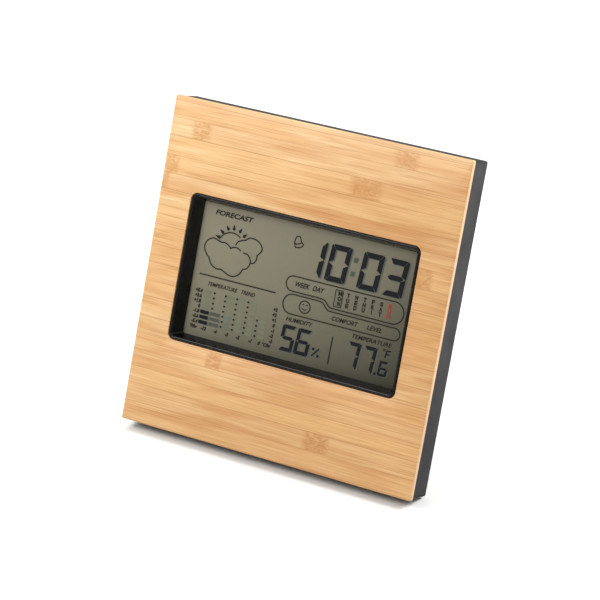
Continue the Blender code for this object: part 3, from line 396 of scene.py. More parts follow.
def make_materials():
    """One material for each slot of the record, and those of the display's artwork and the marks."""
    return {
        "bamboo": bamboo(),
        "case_abs": moulded_plastic("ABS, charcoal, spark textured", "#1C1C1D", "#252526", 0.32, 0.5, 0.03),
        "bezel_gloss": gloss_black(),
        "tape": moulded_plastic("Foam tape, white", "#CFCDC4", "#DEDCD5", 0.6, 0.75, 0.05),
        "lcd_face": display_film(),
        "lcd_glass": clear_glass(),
        "lcd_reflector": metal("Reflector foil, satin", "#8C8D80", 0.45),
        "white_abs": moulded_plastic("ABS, white", "#D3D2CD", "#DFDEDA", 0.3, 0.45),
        "silicone": moulded_plastic("Silicone rubber, grey", "#85858A", "#929297", 0.5, 0.65),
        "circuit_board": circuit_board(),
        "epoxy": moulded_plastic("Epoxy, black", "#0A0A0A", "#131313", 1.5, 0.3),
        "steel": metal("Nickel-plated steel", "#C6C3BC", 0.28),
        "brass": metal("Brass sheet", "#C9A45C", 0.32),
        "cell_wrap": cell_sleeve(),
        "rubber": rubber(),
        "black_abs": moulded_plastic("ABS, black, satin", "#151617", "#1C1D1F", 0.3, 0.4, 0.02),
        "screw_steel": metal("Black-zinc steel", "#3A3A3C", 0.35),
        "red_lead": moulded_plastic("PVC insulation, red", "#A01212", "#B01A1A", 0.5, 0.45),
        "black_lead": moulded_plastic("PVC insulation, black", "#121212", "#1C1C1C", 0.5, 0.45),
        "segment": ink("Display segment, switched on", "#0D0F13", 0.4),
        "segment_shadow": ink("Display segment's shadow on the reflector", "#4C504D", 0.45),
        "segment_half": ink("Display segment, half on", "#43473F"),
        "segment_faint": ink("Display segment, faint", "#5C6359"),
        "segment_ghost": ink("Display segment, switched off", "#646754"),
        "print": ink("Printed outline, dark olive", "#1D1B15"),
        "red_print": ink("Printed colour, orange red", "#8C3520"),
        "pad_print": ink("Pad print, light grey", "#9A9C9E"),
    }


# Shapes, in the slab's millimetres


def rounded_loft(stations, middle=(0.0, MID), steps=8, ring=True):
    """A rounded rectangle pulled through stations of width, height, corner radius and y.

    A ring comes back round to where it began, and any other shape is closed by its first and last station.
    """
    bm = bmesh.new()
    upright = Matrix.Rotation(math.pi / 2, 4, "X") @ Matrix.Rotation(math.pi / (4 * steps), 4, "Z")
    bmesh.ops.create_circle(bm, segments=4 * steps, radius=1.0, matrix=upright)
    stops = [*stations, stations[0]] if ring else stations
    rims = [(bm.verts[:], bm.edges[:])]
    for _ in stops[1:]:
        pulled = bmesh.ops.extrude_edge_only(bm, edges=rims[-1][1])["geom"]
        verts = [item for item in pulled if isinstance(item, bmesh.types.BMVert)]
        rims.append((verts, [edge for edge in bm.edges if edge.verts[0] in verts and edge.verts[1] in verts]))
    if not ring:
        for _, edges in (rims[0], rims[-1]):
            bmesh.ops.contextual_create(bm, geom=edges)
    for (verts, _), (width, height, radius, y) in zip(rims, stops):
        for vert in verts:
            x, z = vert.co.x, vert.co.z
            vert.co = Vector((
                middle[0] + x * radius + math.copysign(width / 2 - radius, x),
                y,
                middle[1] + z * radius + math.copysign(height / 2 - radius, z),
            ))
    bmesh.ops.remove_doubles(bm, verts=bm.verts, dist=0.0001)
    bmesh.ops.recalc_face_normals(bm, faces=bm.faces)
    return bm


def as_piece(name, bm, mat, body, stands_for=(), smooth=35.0, bevel=0.0):
    """Puts a shape drawn in the slab's millimetres into the scene as a finished piece."""
    mesh = bpy.data.meshes.new(name)
    bm.transform(SLAB)
    bm.to_mesh(mesh)
    bm.free()
    mesh.materials.append(mat)
    mesh.shade_smooth()
    mesh.set_sharp_from_angle(angle=math.radians(smooth))
    obj = bpy.data.objects.new(name, mesh)
    bpy.context.scene.collection.objects.link(obj)
    if bevel:
        rounding = obj.modifiers.new("edge rounding", "BEVEL")
        rounding.width = bevel / 1000
        rounding.segments = 3
        rounding.limit_method = "ANGLE"
        rounding.angle_limit = math.radians(40)
    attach(obj, body)
    if stands_for:
        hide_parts(*stands_for)


# The front


def make_plate(mats):
    """The bamboo face: eased all round and at the window, as sanding leaves it."""
    ease = 0.45
    bm = rounded_loft([
        (PLATE - 2 * ease, PLATE - 2 * ease, 0.35, 0.0),
        (PLATE - ease * 0.9, PLATE - ease * 0.9, 0.5, ease * 0.12),
        (PLATE - ease * 0.3, PLATE - ease * 0.3, 0.6, ease * 0.45),
        (PLATE, PLATE, 0.7, ease),
        (PLATE, PLATE, 0.7, PLATE_THICK - 0.1),
        (PLATE - 0.2, PLATE - 0.2, 0.6, PLATE_THICK),
        (WINDOW_W, WINDOW_H, 3.0, PLATE_THICK),
        (WINDOW_W, WINDOW_H, 3.0, 0.25),
        (WINDOW_W + 0.15, WINDOW_H + 0.15, 3.1, 0.07),
        (WINDOW_W + 0.5, WINDOW_H + 0.5, 3.25, 0.0),
    ], steps=6)
    as_piece("bamboo_face", bm, mats["bamboo"], "case", ["bamboo_plate"])


def make_bezel(mats):
    """The window frame: a thin bright rim, walls that slope in to the display, and a flange behind."""
    lip = 1.2
    in_w, in_h = RIM_W - 2 * lip, RIM_H - 2 * lip
    flange = 4.65
    bm = rounded_loft([
        (RIM_W, RIM_H, 2.7, 0.55),
        (RIM_W - 0.12, RIM_H - 0.12, 2.65, 0.3),
        (RIM_W - 0.4, RIM_H - 0.4, 2.5, 0.14),
        (RIM_W - 0.8, RIM_H - 0.8, 2.3, 0.1),
        (in_w + 0.8, in_h + 0.8, 1.9, 0.1),
        (in_w + 0.35, in_h + 0.35, 1.7, 0.17),
        (in_w + 0.05, in_h + 0.05, 1.55, 0.4),
        (in_w - 0.1, in_h - 0.1, 1.5, 0.7),
        (VIEW_W + 0.15, VIEW_H + 0.15, 0.85, VIEW_DEPTH - 0.6),
        (VIEW_W, VIEW_H, 0.8, VIEW_DEPTH - 0.35),
        (VIEW_W, VIEW_H, 0.8, VIEW_DEPTH),
        (RIM_W + 5.2, RIM_H + 5.2, 1.5, VIEW_DEPTH),
        (RIM_W + 5.2, RIM_H + 5.2, 1.5, flange),
        (RIM_W, RIM_H, 2.7, flange),
    ], steps=10)
    as_piece("window_bezel", bm, mats["bezel_gloss"], "case", ["bezel_frame"], smooth=32)


# The display's artwork: x from the middle of the face, z from the middle up


ART_THICK = 0.03


def flat_face(bm, outline):
    """A flat face in the display's plane from (x, z) points."""
    return bm.faces.new([bm.verts.new((x, 0.0, z + MID)) for x, z in outline])


def stroke(bm, route, width, closed=False):
    """A line of one width along (x, z) points, drawn by pulling an edge along the route."""
    route = [Vector(point) for point in route]
    count = len(route)
    edge, first = None, None
    for i, here in enumerate(route):
        before = route[i - 1] if i or closed else here
        after = route[(i + 1) % count] if i < count - 1 or closed else here
        along = ((after - here).normalized() + (here - before).normalized()).normalized()
        side = Vector((-along.y, along.x)) * width / 2
        ends = [here + side, here - side]
        if edge is None:
            verts = [bm.verts.new((p.x, 0.0, p.y + MID)) for p in ends]
            edge = bm.edges.new(verts)
            first = edge
        else:
            pulled = bmesh.ops.extrude_edge_only(bm, edges=[edge])["geom"]
            edge = next(item for item in pulled if isinstance(item, bmesh.types.BMEdge)
                        and not set(item.verts) & set(edge.verts))
            verts = match(verts, edge.verts)
            for vert, p in zip(verts, ends):
                vert.co = Vector((p.x, 0.0, p.y + MID))
    if closed:
        bmesh.ops.bridge_loops(bm, edges=[edge, first])


def match(old, new):
    """The new pair of vertices in the order of the old pair that they were pulled from."""
    new = list(new)
    if (new[0].co - old[0].co).length > (new[1].co - old[0].co).length:
        new.reverse()
    return new


def flowing(points, per_span=5):
    """A smooth route through given points."""
    points = [Vector(p) for p in points]
    ends = [points[0] * 2 - points[1], *points, points[-1] * 2 - points[-2]]
    route = []
    for a, b, c, d in zip(ends, ends[1:], ends[2:], ends[3:]):
        for i in range(per_span):
            t = i / per_span
            route.append(0.5 * (2 * b + (c - a) * t + (2 * a - 5 * b + 4 * c - d) * t**2
                                + (3 * b - a - 3 * c + d) * t**3))
    route.append(points[-1])
    return route


def arc(centre, radius, start, end, steps=12):
    """Points round part of a circle, from start to end in degrees."""
    return [
        (centre[0] + radius * math.cos(math.radians(start + (end - start) * i / steps)),
         centre[1] + radius * math.sin(math.radians(start + (end - start) * i / steps)))
        for i in range(steps + 1)
    ]


def lettering(bm, words, left, right, base, height, slant=0.25, weight=0.0):
    """Small printed words as flat faces, fitted between left and right.

    With no left they keep a natural width and end at right.
    """
    curve = bpy.data.curves.new("words", "FONT")
    curve.body = words
    curve.size = 1.0
    curve.offset = weight
    curve.resolution_u = 3
    helper = bpy.data.objects.new("words", curve)
    bpy.context.scene.collection.objects.link(helper)
    bpy.context.view_layer.update()
    made = bpy.data.meshes.new_from_object(helper.evaluated_get(bpy.context.evaluated_depsgraph_get()))
    xs = [v.co.x for v in made.vertices]
    ys = [v.co.y for v in made.vertices]
    cap = height / (max(ys) - min(min(ys), 0.0))
    span = max(xs) - min(xs)
    wide = cap * 0.9 if left is None else (right - left) / span
    shift = right - span * wide if left is None else left
    for vert in made.vertices:
        x, y = vert.co.x, vert.co.y
        z = y * cap
        vert.co = ((x - min(xs)) * wide + shift + slant * z, 0.0, z + base + MID)
    bm.from_mesh(made)
    bpy.data.objects.remove(helper)
    bpy.data.curves.remove(curve)
    bpy.data.meshes.remove(made)


SEGMENTS = {"0": "abcdef", "1": "bc", "2": "abdeg", "3": "abcdg", "4": "bcfg", "5": "acdfg",
            "6": "acdefg", "7": "abc", "8": "abcdefg", "9": "abcdfg"}
DIGIT_SLANT = 0.085


def digit(bm, figure, left, right, bottom, top, line, gap):
    """A seven-segment figure in a leaning box."""
    w, h = (right - left) / 2, (top - bottom) / 2
    cx, cz = (left + right) / 2, (top + bottom) / 2
    cut = line * 0.30
    half = line / 2
    upright = [(w, h - cut - gap), (w - cut * 0.6, h - gap * 1.4), (w - line, h - line - gap),
               (w - line, gap + half * 0.9), (w - half * 0.2, gap * 0.8), (w, gap * 1.6)]
    level = [(-w + cut + gap, h), (w - cut - gap, h), (w - line - gap, h - line), (-w + line + gap, h - line)]
    middle = [(-w + half + gap, 0), (-w + line + gap, half * 0.92), (w - line - gap, half * 0.92),
              (w - half - gap, 0), (w - line - gap, -half * 0.92), (-w + line + gap, -half * 0.92)]
    shapes = {
        "a": level, "d": [(x, -z) for x, z in level],
        "b": upright, "c": [(x, -z) for x, z in upright],
        "f": [(-x, z) for x, z in upright], "e": [(-x, -z) for x, z in upright],
        "g": middle,
    }
    for key in SEGMENTS[figure]:
        outline = [(cx + x + DIGIT_SLANT * z, cz + z) for x, z in shapes[key]]
        flat_face(bm, outline)


def block(bm, x, z, width, height, slant=0.0):
    """A small filled rectangle about its middle."""
    w, h = width / 2, height / 2
    corners = ((-1, -1), (1, -1), (1, 1), (-1, 1))
    flat_face(bm, [(x + sx * w + slant * sz * h, z + sz * h) for sx, sz in corners])


def thicken(bm, way):
    """Pulls flat faces out to a print's thickness, towards the front (-1) or the back (1)."""
    for face in bm.faces:
        face.normal_update()
        if face.normal.y * way < 0:
            face.normal_flip()
    pulled = bmesh.ops.extrude_face_region(bm, geom=bm.faces[:])["geom"]
    moved = [item for item in pulled if isinstance(item, bmesh.types.BMVert)]
    bmesh.ops.translate(bm, vec=(0.0, way * ART_THICK, 0.0), verts=moved)
    bmesh.ops.recalc_face_normals(bm, faces=bm.faces)


def artwork(name, bm, mat, lift, shift=(0.0, 0.0)):
    """Gives flat artwork a film's thickness and lays it on the display, lift mm in front of the film."""
    bmesh.ops.remove_doubles(bm, verts=bm.verts, dist=0.002)
    bmesh.ops.dissolve_degenerate(bm, edges=bm.edges, dist=0.001)
    thicken(bm, -1)
    bmesh.ops.translate(bm, vec=(shift[0], FILM_FRONT - lift, shift[1]), verts=bm.verts)
    as_piece(name, bm, mat, "case", smooth=20)


def lit_segments(bm):
    """The time, humidity and temperature figures."""
    top, bottom, line = 22.5, 7.8, 2.1
    for figure, right in (("1", 8.9), ("0", 19.8), ("0", 34.2), ("3", 45.1)):
        digit(bm, figure, right - 9.1, right, bottom, top, line, gap=0.07)
    top, bottom, line = -13.1, -23.6, 1.45
    for figure, right, width in (("5", 2.1, 6.3), ("6", 9.2, 6.4), ("7", 31.1, 5.9), ("7", 38.2, 5.9)):
        digit(bm, figure, right - width, right, bottom, top, line, gap=0.06)
    digit(bm, "6", 40.3, 44.3, -23.4, -17.4, 0.95, gap=0.06)
    block(bm, 39.1, -23.0, 1.0, 1.0)
    for x, z in ((11.0, -19.8), (13.4, -22.2)):
        block(bm, x, z, 1.0, 0.95)
    stroke(bm, [(13.6, -19.3), (10.7, -22.6)], 0.55)
    # The Fahrenheit sign
    stroke(bm, [(42.3, -16.0), (42.6, -13.2)], 0.5)
    stroke(bm, [(42.5, -13.1), (44.5, -13.1)], 0.5)
    stroke(bm, [(42.5, -14.5), (44.1, -14.5)], 0.45)
    stroke(bm, arc((41.5, -13.0), 0.4, 0, 360, 10)[:-1], 0.25, closed=True)


ROW_PITCH = 2.083
TREND_ROWS = [-8.4 - ROW_PITCH * i for i in range(7)]
TREND_COLUMNS = [-36.8, -31.55, -26.3, -21.05, -15.8]


def make_segments(mats):
    """The display's segments: on, with their shadow on the reflector, then half on, faint and off."""
    for name, mat, lift, shift in (("display_shadows", "segment_shadow", 0.03, (0.6, -0.3)),
                                   ("display_segments", "segment", 0.12, (0.0, 0.0))):
        bm = bmesh.new()
        lit_segments(bm)
        for row in TREND_ROWS[4:]:
            block(bm, -40.0, row, 4.0, 1.35)
        artwork(name, bm, mats[mat], lift, shift=shift)
    bm = bmesh.new()
    for row in TREND_ROWS[4:]:
        block(bm, -35.0, row, 4.5, 1.3)
    for x, z in ((22.6, 18.2), (22.1, 12.7)):
        block(bm, x, z, 1.9, 1.9, slant=DIGIT_SLANT)
    artwork("display_half_segments", bm, mats["segment_half"], 0.08)
    bm = bmesh.new()
    for row in TREND_ROWS[4:]:
        block(bm, -29.3, row, 3.2, 1.3)
    artwork("display_faint_segments", bm, mats["segment_faint"], 0.06)
    bm = bmesh.new()
    top, bottom = TREND_ROWS[:4], TREND_ROWS[3:]
    for column, rows in ((-39.9, top), (-29.3, top), (-24.0, TREND_ROWS), (-18.7, TREND_ROWS),
                         (-13.1, bottom)):
        for row in rows:
            block(bm, column, row, 3.0, 1.5)
    artwork("display_ghost_segments", bm, mats["segment_ghost"], 0.04)


def draw_weather(bm):
    """A sun behind two clouds, in outline."""
    line = 0.48
    stroke(bm, arc((-33.3, 10.8), 6.2, 156, 54, 16), line)
    ray_half = 0.72
    rays = [
        ((-38.5, 14.0), (-41.2, 14.5)), ((-37.2, 15.9), (-39.5, 17.2)), ((-35.2, 17.5), (-36.7, 19.4)),
        ((-33.0, 17.9), (-33.3, 20.4)), ((-30.6, 17.5), (-29.4, 19.7)), ((-28.6, 16.2), (-26.7, 17.9)),
    ]
    for ray in rays:
        base, tip = map(Vector, ray)
        side = Vector((base.y - tip.y, tip.x - base.x)).normalized() * ray_half
        wide = base.lerp(tip, 0.25)
        flat_face(bm, [base, wide + side, tip, wide - side])
    front = [
        [(-43.0, 5.5), (-45.0, 8.6), (-44.4, 11.4), (-41.8, 13.2), (-38.8, 12.5)],
        [(-39.3, 12.8), (-37.6, 12.3), (-36.4, 12.5), (-34.4, 11.8), (-33.0, 10.6)],
        [(-33.3, 10.7), (-31.8, 11.5), (-30.0, 11.5), (-28.4, 10.7)],
        [(-27.2, 10.2), (-25.0, 9.9), (-23.6, 8.2), (-23.5, 6.2), (-24.6, 4.4), (-26.3, 3.8)],
        [(-26.0, 4.1), (-27.3, 1.7), (-29.6, 0.1), (-32.0, 0.1), (-34.4, 1.0), (-36.1, 1.8)],
        [(-35.6, 1.6), (-38.3, 1.5), (-40.6, 2.6), (-41.9, 4.4), (-42.5, 5.7)],
    ]
    back = [
        [(-31.2, 12.5), (-30.4, 14.0), (-28.8, 14.9), (-26.8, 15.5)],
        [(-27.3, 15.2), (-25.4, 16.6), (-22.6, 16.6), (-20.0, 15.1), (-19.1, 12.9), (-20.9, 10.4)],
        [(-20.9, 10.7), (-20.8, 8.9), (-21.8, 7.3), (-23.4, 6.8)],
    ]
    for lobe in front + back:
        stroke(bm, flowing(lobe), line)


def draw_bell(bm):
    """The alarm sign: a tilted bell, in outline."""
    line = 0.44
    stroke(bm, flowing([(-4.9, 17.6), (-5.3, 19.6), (-5.0, 21.3), (-4.2, 22.0), (-3.2, 21.8), (-2.6, 20.6),
                        (-1.9, 19.6), (-1.2, 19.2)]), line)
    stroke(bm, flowing([(-4.9, 17.5), (-3.4, 17.6), (-2.0, 18.1), (-1.2, 19.2)]), line)
    stroke(bm, flowing([(-5.1, 18.8), (-3.6, 19.0), (-2.2, 19.8)]), line)


def draw_panels(bm):
    """Two stepped capsules that fit one into the other, and the lines between the readings."""
    line = 0.46
    week = [*arc((-2.9, 3.3), 3.0, 90, 270, 16)]
    week += flowing([(10.4, 0.3), (12.2, -0.1), (13.6, -1.3), (14.8, -2.3), (16.4, -2.45)], 4)
    week += arc((42.5, 1.92), 4.37, -90, 90, 18)
    stroke(bm, week, line, closed=True)
    comfort = [*arc((-1.9, -4.75), 3.9, 270, 90, 16)]
    comfort += flowing([(9.8, -0.86), (11.6, -1.3), (13.0, -2.6), (14.3, -3.6), (15.9, -3.75)], 4)
    comfort += arc((44.35, -6.2), 2.45, 90, -90, 14)
    stroke(bm, comfort, line, closed=True)
    stroke(bm, [(18.35, -24.1), (18.4, -18.6), (18.5, -13.1)], 0.5)
    stroke(bm, [(-45.2, -2.0), (-9.8, -2.0)], 0.5)
    # The frame round the chosen day
    frame_corners = [(16.3, -1.4), (16.3, 5.2), (19.6, 5.2), (19.6, -1.4)]
    for start, end in zip(frame_corners, frame_corners[1:] + frame_corners[:1]):
        stroke(bm, [start, end], 0.3)


def draw_face(bm):
    """The comfort sign: a ring with two eyes and a smile."""
    middle = (4.05, -4.65)
    stroke(bm, arc(middle, 2.42, 0, 360, 36)[:-1], 0.42, closed=True)
    for x in (3.2, 4.95):
        stroke(bm, arc((x, -4.15), 0.42, 20, 160, 5), 0.34)
    stroke(bm, arc((4.05, -4.55), 1.25, 215, 325, 9), 0.34)


SCALE_HEIGHT, SCALE_WEIGHT, UNIT_WEIGHT = 1.6, 0.055, 0.04
# The week's days are set letter under letter, in columns from the left.
DAY_LEFT, DAY_PITCH = 18.4, 3.68
DAY_TOP, LETTER_DROP = 3.25, 2.03


def draw_labels(bm):
    """The printed words, the scales' numbers and units, and the days from Monday to Saturday."""
    for words, left, right, base, height, weight in (
        ("FORECAST", -42.6, -25.6, 22.8, 2.1, 0.03), ("TEMPERATURE", -40.9, -27.2, -5.9, 1.6, 0.01),
        ("TREND", -25.3, -18.9, -5.9, 1.6, 0.01), ("WEEK", -2.2, 4.5, 2.5, 2.0, 0.015),
        ("DAY", 6.1, 10.9, 2.5, 2.0, 0.015), ("COMFORT", 16.4, 27.9, -7.0, 1.8, 0.015),
        ("LEVEL", 32.4, 38.9, -7.0, 1.8, 0.015), ("HUMIDITY", -3.2, 8.5, -11.6, 1.7, 0.015),
        ("TEMPERATURE", 26.3, 43.9, -11.6, 1.7, 0.015),
    ):
        lettering(bm, words, left, right, base, height, weight=weight)
    for row, fahrenheit, celsius in zip(TREND_ROWS, ("+5.4", "+3.6", "+1.8", "0", "-1.8", "-3.6", "-5.4"),
                                        ("+3", "+2", "+1", "0", "-1", "-2", "-3")):
        lettering(bm, fahrenheit, None, -42.5, row - 0.8, SCALE_HEIGHT, 0.1, SCALE_WEIGHT)
        lettering(bm, celsius, None, -7.6, row * 1.02 - 0.65, SCALE_HEIGHT, 0.1, SCALE_WEIGHT)
    foot = -23.9
    for words, right in (("-12", -38.2), ("-6", -33.0), ("-3", -27.8), ("-2", -22.5), ("-1", -17.0),
                         ("0", -13.0)):
        lettering(bm, words, None, right, foot, SCALE_HEIGHT, 0.3, SCALE_WEIGHT)
    for words, right in (("°F/hr", -42.4), ("°C/hr", -8.0)):
        lettering(bm, words, None, right, foot, SCALE_HEIGHT, 0.3, UNIT_WEIGHT)
    days = ("MON", "TUE", "WED", "THU", "FRI", "SAT")
    for number, day in enumerate(days):
        middle = DAY_LEFT + DAY_PITCH * number
        for row, letter in enumerate(day):
            wide = 0.85 if letter in "MWO" else 0.65
            if letter == "I":
                wide = 0.16
            lettering(bm, letter, middle - wide, middle + wide, DAY_TOP - LETTER_DROP * row, 1.75, 0.0, 0.05)


def make_print(mats):
    """What is printed on the display: outlines, labels, the scale's dots and Sunday in a second colour."""
    bm = bmesh.new()
    draw_weather(bm)
    draw_bell(bm)
    draw_panels(bm)
    draw_face(bm)
    artwork("display_outlines", bm, mats["print"], 0.1)
    bm = bmesh.new()
    draw_labels(bm)
    artwork("display_labels", bm, mats["print"], 0.1)
    bm = bmesh.new()
    for column, rows in zip(TREND_COLUMNS, (TREND_ROWS[:4], *[TREND_ROWS] * 3, TREND_ROWS[3:])):
        for row in rows:
            flat_face(bm, [(column + 0.48 * x, row + 0.42 * z) for x, z in arc((0, 0), 1.0, 0, 330, 11)])
    artwork("display_scale_dots", bm, mats["print"], 0.13)
    bm = bmesh.new()
    for row, letter in enumerate("SUN"):
        lettering(bm, letter, 39.75, 41.25, DAY_TOP - LETTER_DROP * row, 1.8, 0.0, 0.05)
    artwork("display_red_day", bm, mats["red_print"], 0.1)


# The back


BUTTON_X = (14.0, 29.0, 44.0)
BUTTON_Z = (116.5, 106.5)
BUTTON_W, BUTTON_H = 10.0, 5.6
BUTTON_BACK = POD_BACK + 0.8
FLANGE_BACK, FLANGE_THICK = 17.0, 1.0
FLANGE_W, FLANGE_H = 12.0, 7.6
STEM, STEM_FRONT = 3.0, 14.2


def make_buttons(mats):
    """Six capped keys with a softly domed face, each on its own stem."""
    half = BUTTON_H / 2
    number = 0
    for z in BUTTON_Z:
        for x in BUTTON_X:
            number += 1
            cap = [(BUTTON_W - 2 * inset, BUTTON_H - 2 * inset, half - inset - 0.01, BUTTON_BACK - drop)
                   for inset, drop in ((0.0, 0.6), (0.05, 0.42), (0.18, 0.26), (0.38, 0.14), (0.7, 0.06),
                                       (1.2, 0.015), (1.9, 0.0))]
            bm = rounded_loft([
                (STEM, STEM, STEM / 2 - 0.01, STEM_FRONT),
                (STEM, STEM, STEM / 2 - 0.01, FLANGE_BACK - FLANGE_THICK),
                (FLANGE_W, FLANGE_H, FLANGE_H / 2 - 0.01, FLANGE_BACK - FLANGE_THICK),
                (FLANGE_W, FLANGE_H, FLANGE_H / 2 - 0.01, FLANGE_BACK),
                (BUTTON_W, BUTTON_H, half - 0.01, FLANGE_BACK), *cap,
            ], (x, z), ring=False)
            as_piece(f"key_cap_{number}", bm, mats["black_abs"], f"key_{number}",
                     [f"button_{number}"], smooth=35)


MARK_RISE = 4.4


def make_button_marks(mats):
    """A small printed sign over each key: up, down, set, alarm, units and memory."""
    bm = bmesh.new()
    line = 0.3
    up, down, clock, bell, degree, memory = [
        Vector((x, z + MARK_RISE)) for z in BUTTON_Z for x in BUTTON_X
    ]
    for at, way in ((up, 1), (down, -1)):
        stroke_at(bm, at, [(-1.0, -0.7 * way), (1.0, -0.7 * way), (0.0, 0.8 * way)], line)
    stroke_at(bm, clock, arc((0, 0), 0.95, 0, 360, 20)[:-1], line)
    stroke(bm, [clock + Vector((0.0, 0.6)), clock, clock + Vector((-0.45, 0.0))], line)
    stroke_at(bm, bell, [(-0.9, -0.6), (-0.6, 0.2), (-0.35, 0.8), (0.35, 0.8), (0.6, 0.2), (0.9, -0.6)], line)
    stroke_at(bm, degree, arc((0, 0), 0.5, 0, 360, 14)[:-1], line)
    stroke_at(bm, memory, [(-1.0, -0.6), (1.0, -0.6), (1.0, 0.6), (-1.0, 0.6)], line)
    thicken(bm, 1)
    bmesh.ops.translate(bm, vec=(0.0, POD_BACK, -MID), verts=bm.verts)
    as_piece("button_marks", bm, mats["pad_print"], "case")


def stroke_at(bm, at, outline, width):
    """A closed line drawn about a point of its own."""
    stroke(bm, [at + Vector(point) for point in outline], width, closed=True)


ARROW_X, ARROW_Z = -27.0, 108.0
ARROW = [(-0.5, 2.6), (0.5, 2.6), (0.5, 0.2), (1.7, 0.2), (0.0, -2.2), (-1.7, 0.2), (-0.5, 0.2)]
LEG_HALF, LEG_THICK = 23.6, 3.0
LEG_BARREL = 1.75
LEG_CORNER = 5.0
FOOT_PAD, PAD_GAP = 1.2, 0.15
PANEL_MARGIN, PANEL_WALL, PANEL_DEPTH = 4.0, 0.35, 0.4


def make_leg(mats):
    """The fold-out leg: eased edges, two cut corners and a shallow panel pressed into its outer face."""
    stands = LEG_OPEN - LEAN
    length = hinge["pos_m"][2] * 1000 / math.cos(stands)
    end = -length + (FOOT_PAD + PAD_GAP) / math.cos(stands)
    half = LEG_THICK / 2
    tilt = math.tan(stands)
    # The end at the pin is cut off in front, flat on top and round behind
    outline = [(-half, 0.9), (-0.6, 2.25), (0.3, 2.25)]
    outline += [(LEG_BARREL * math.cos(a), LEG_BARREL * math.sin(a))
                for a in (math.radians(60 - 85 * i / 12) for i in range(13))]
    outline += [(half, -1.4), (half, end - half * tilt), (-half, end + half * tilt)]
    bm = bmesh.new()
    side = bm.faces.new([bm.verts.new((-LEG_HALF, y, z)) for y, z in outline])
    across = bmesh.ops.extrude_face_region(bm, geom=[side])["geom"]
    bmesh.ops.translate(bm, vec=(2 * LEG_HALF, 0.0, 0.0),
                        verts=[item for item in across if isinstance(item, bmesh.types.BMVert)])
    for way in (-1, 1):
        cut = bmesh.ops.bisect_plane(
            bm, geom=bm.verts[:] + bm.edges[:] + bm.faces[:],
            plane_co=(way * LEG_HALF, 0.0, end + LEG_CORNER), plane_no=(way, 0.0, -1.0), clear_outer=True,
        )["geom_cut"]
        bmesh.ops.contextual_create(bm, geom=[item for item in cut if isinstance(item, bmesh.types.BMEdge)])
    bmesh.ops.recalc_face_normals(bm, faces=bm.faces)
    back = max((face for face in bm.faces if face.normal.y > 0.99), key=lambda face: face.calc_area())
    bmesh.ops.inset_region(bm, faces=[back], thickness=PANEL_MARGIN, depth=0.0)
    bmesh.ops.inset_region(bm, faces=[back], thickness=PANEL_WALL, depth=-PANEL_DEPTH)
    bm.transform(Matrix.Translation(PIVOT) @ Matrix.Rotation(LEG_OPEN, 4, "X"))
    as_piece("easel_leg", bm, mats["case_abs"], "leg", ["fold_out_leg"], smooth=40, bevel=0.35)


def make_door_arrow(mats):
    """A printed arrow on the battery door that shows which way it opens."""
    bm = bmesh.new()
    bm.faces.new([bm.verts.new((ARROW_X + x, POD_BACK, ARROW_Z + z)) for x, z in ARROW])
    thicken(bm, 1)
    as_piece("door_arrow", bm, mats["pad_print"], "door")


# The carried-over nodes


def finish_nodes(mats):
    """Every node of the model takes the finish of its slot in the record."""
    slots = {part["node"]: part["material_slot"] for part in frame["record"]["subparts"]}
    for name, obj in frame["nodes"].items():
        obj.data.materials.clear()
        obj.data.materials.append(mats[slots[name]])


# The studio


AIM = Vector((0.0004, -0.0013, 0.0623))
DISTANCE = 1.087
AZIMUTH, ELEVATION = math.radians(30.66), math.radians(25.87)
LENS = 166.1


def make_camera():
    """A long lens, looking down at the station from its right."""
    data = bpy.data.cameras.new("Camera")
    data.lens = LENS
    data.sensor_width = 36.0
    camera = bpy.data.objects.new("Camera", data)
    bpy.context.scene.collection.objects.link(camera)
    back = Vector((math.sin(AZIMUTH) * math.cos(ELEVATION), -math.cos(AZIMUTH) * math.cos(ELEVATION),
                   math.sin(ELEVATION)))
    camera.location = AIM + back * DISTANCE
    camera.rotation_euler = back.to_track_quat("Z", "Y").to_euler()
    bpy.context.scene.camera = camera


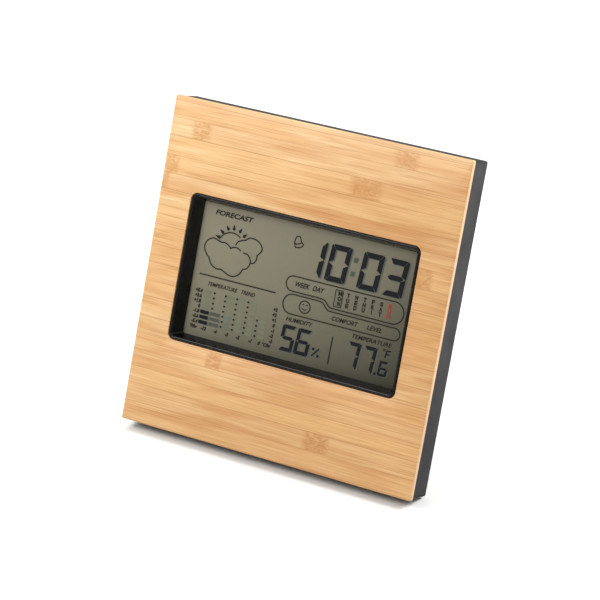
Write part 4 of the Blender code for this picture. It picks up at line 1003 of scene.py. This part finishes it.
# Each light's name, place in metres, two sides, watts and colour.
SOFTBOXES = [
    ("key_light", (-0.38, -0.52, 0.62), (0.4, 0.4), 5.05, "#FFFCF8"),
    ("fill_light", (0.40, -0.04, 0.38), (0.16, 0.16), 0.9, "#FFFFFF"),
    ("side_light", (0.32, 0.36, 0.32), (0.16, 0.16), 2.5, "#FFFFFF"),
    ("top_light", (-0.5, 0.3, 1.3), (1.2, 0.8), 10.0, "#FFFFFF"),
]
FLOOR_HALF = 6.0


def add_softbox(name, place, size, power, colour):
    """An area light that looks at the station."""
    data = bpy.data.lights.new(name, "AREA")
    data.shape = "RECTANGLE"
    data.size, data.size_y = size
    data.energy = power
    data.color = linear(colour)[:3]
    lamp = bpy.data.objects.new(name, data)
    bpy.context.scene.collection.objects.link(lamp)
    lamp.location = place
    lamp.rotation_euler = (Vector(place) - AIM).to_track_quat("Z", "Y").to_euler()


def make_studio():
    """A pale sky, four softboxes and a white floor."""
    world = bpy.data.worlds.new("Studio")
    bpy.context.scene.world = world
    world.use_nodes = True
    background = world.node_tree.nodes["Background"]
    background.inputs["Color"].default_value = linear("#F4F6F8")
    background.inputs["Strength"].default_value = 0.42
    for softbox in SOFTBOXES:
        add_softbox(*softbox)
    bm = bmesh.new()
    bmesh.ops.create_grid(bm, x_segments=2, y_segments=2, size=FLOOR_HALF)
    mesh = bpy.data.meshes.new("floor")
    bm.to_mesh(mesh)
    bm.free()
    mat, tree, shader = new_material("Paper sweep, white", "#F4F4F2", Roughness=0.9)
    place = add_node(tree, "TexCoord")
    fibre = add_node(tree, "TexNoise", {"Vector": place.outputs["Object"], "Scale": 400.0})
    shade = add_node(tree, "ValToRGB", {"Fac": fibre.outputs[0]},
                     stops=[(0.2, "#F2F2F0"), (0.8, "#F7F7F5")])
    tree.links.new(shade.outputs[0], shader.inputs["Base Color"])
    mesh.materials.append(mat)
    floor = bpy.data.objects.new("floor", mesh)
    bpy.context.scene.collection.objects.link(floor)
    bpy.context.scene.view_settings.view_transform = "Standard"


make_camera()
make_studio()
mats = make_materials()
finish_nodes(mats)
make_plate(mats)
make_bezel(mats)
make_segments(mats)
make_print(mats)
make_buttons(mats)
make_button_marks(mats)
make_leg(mats)
make_door_arrow(mats)

bpy.context.view_layer.update()
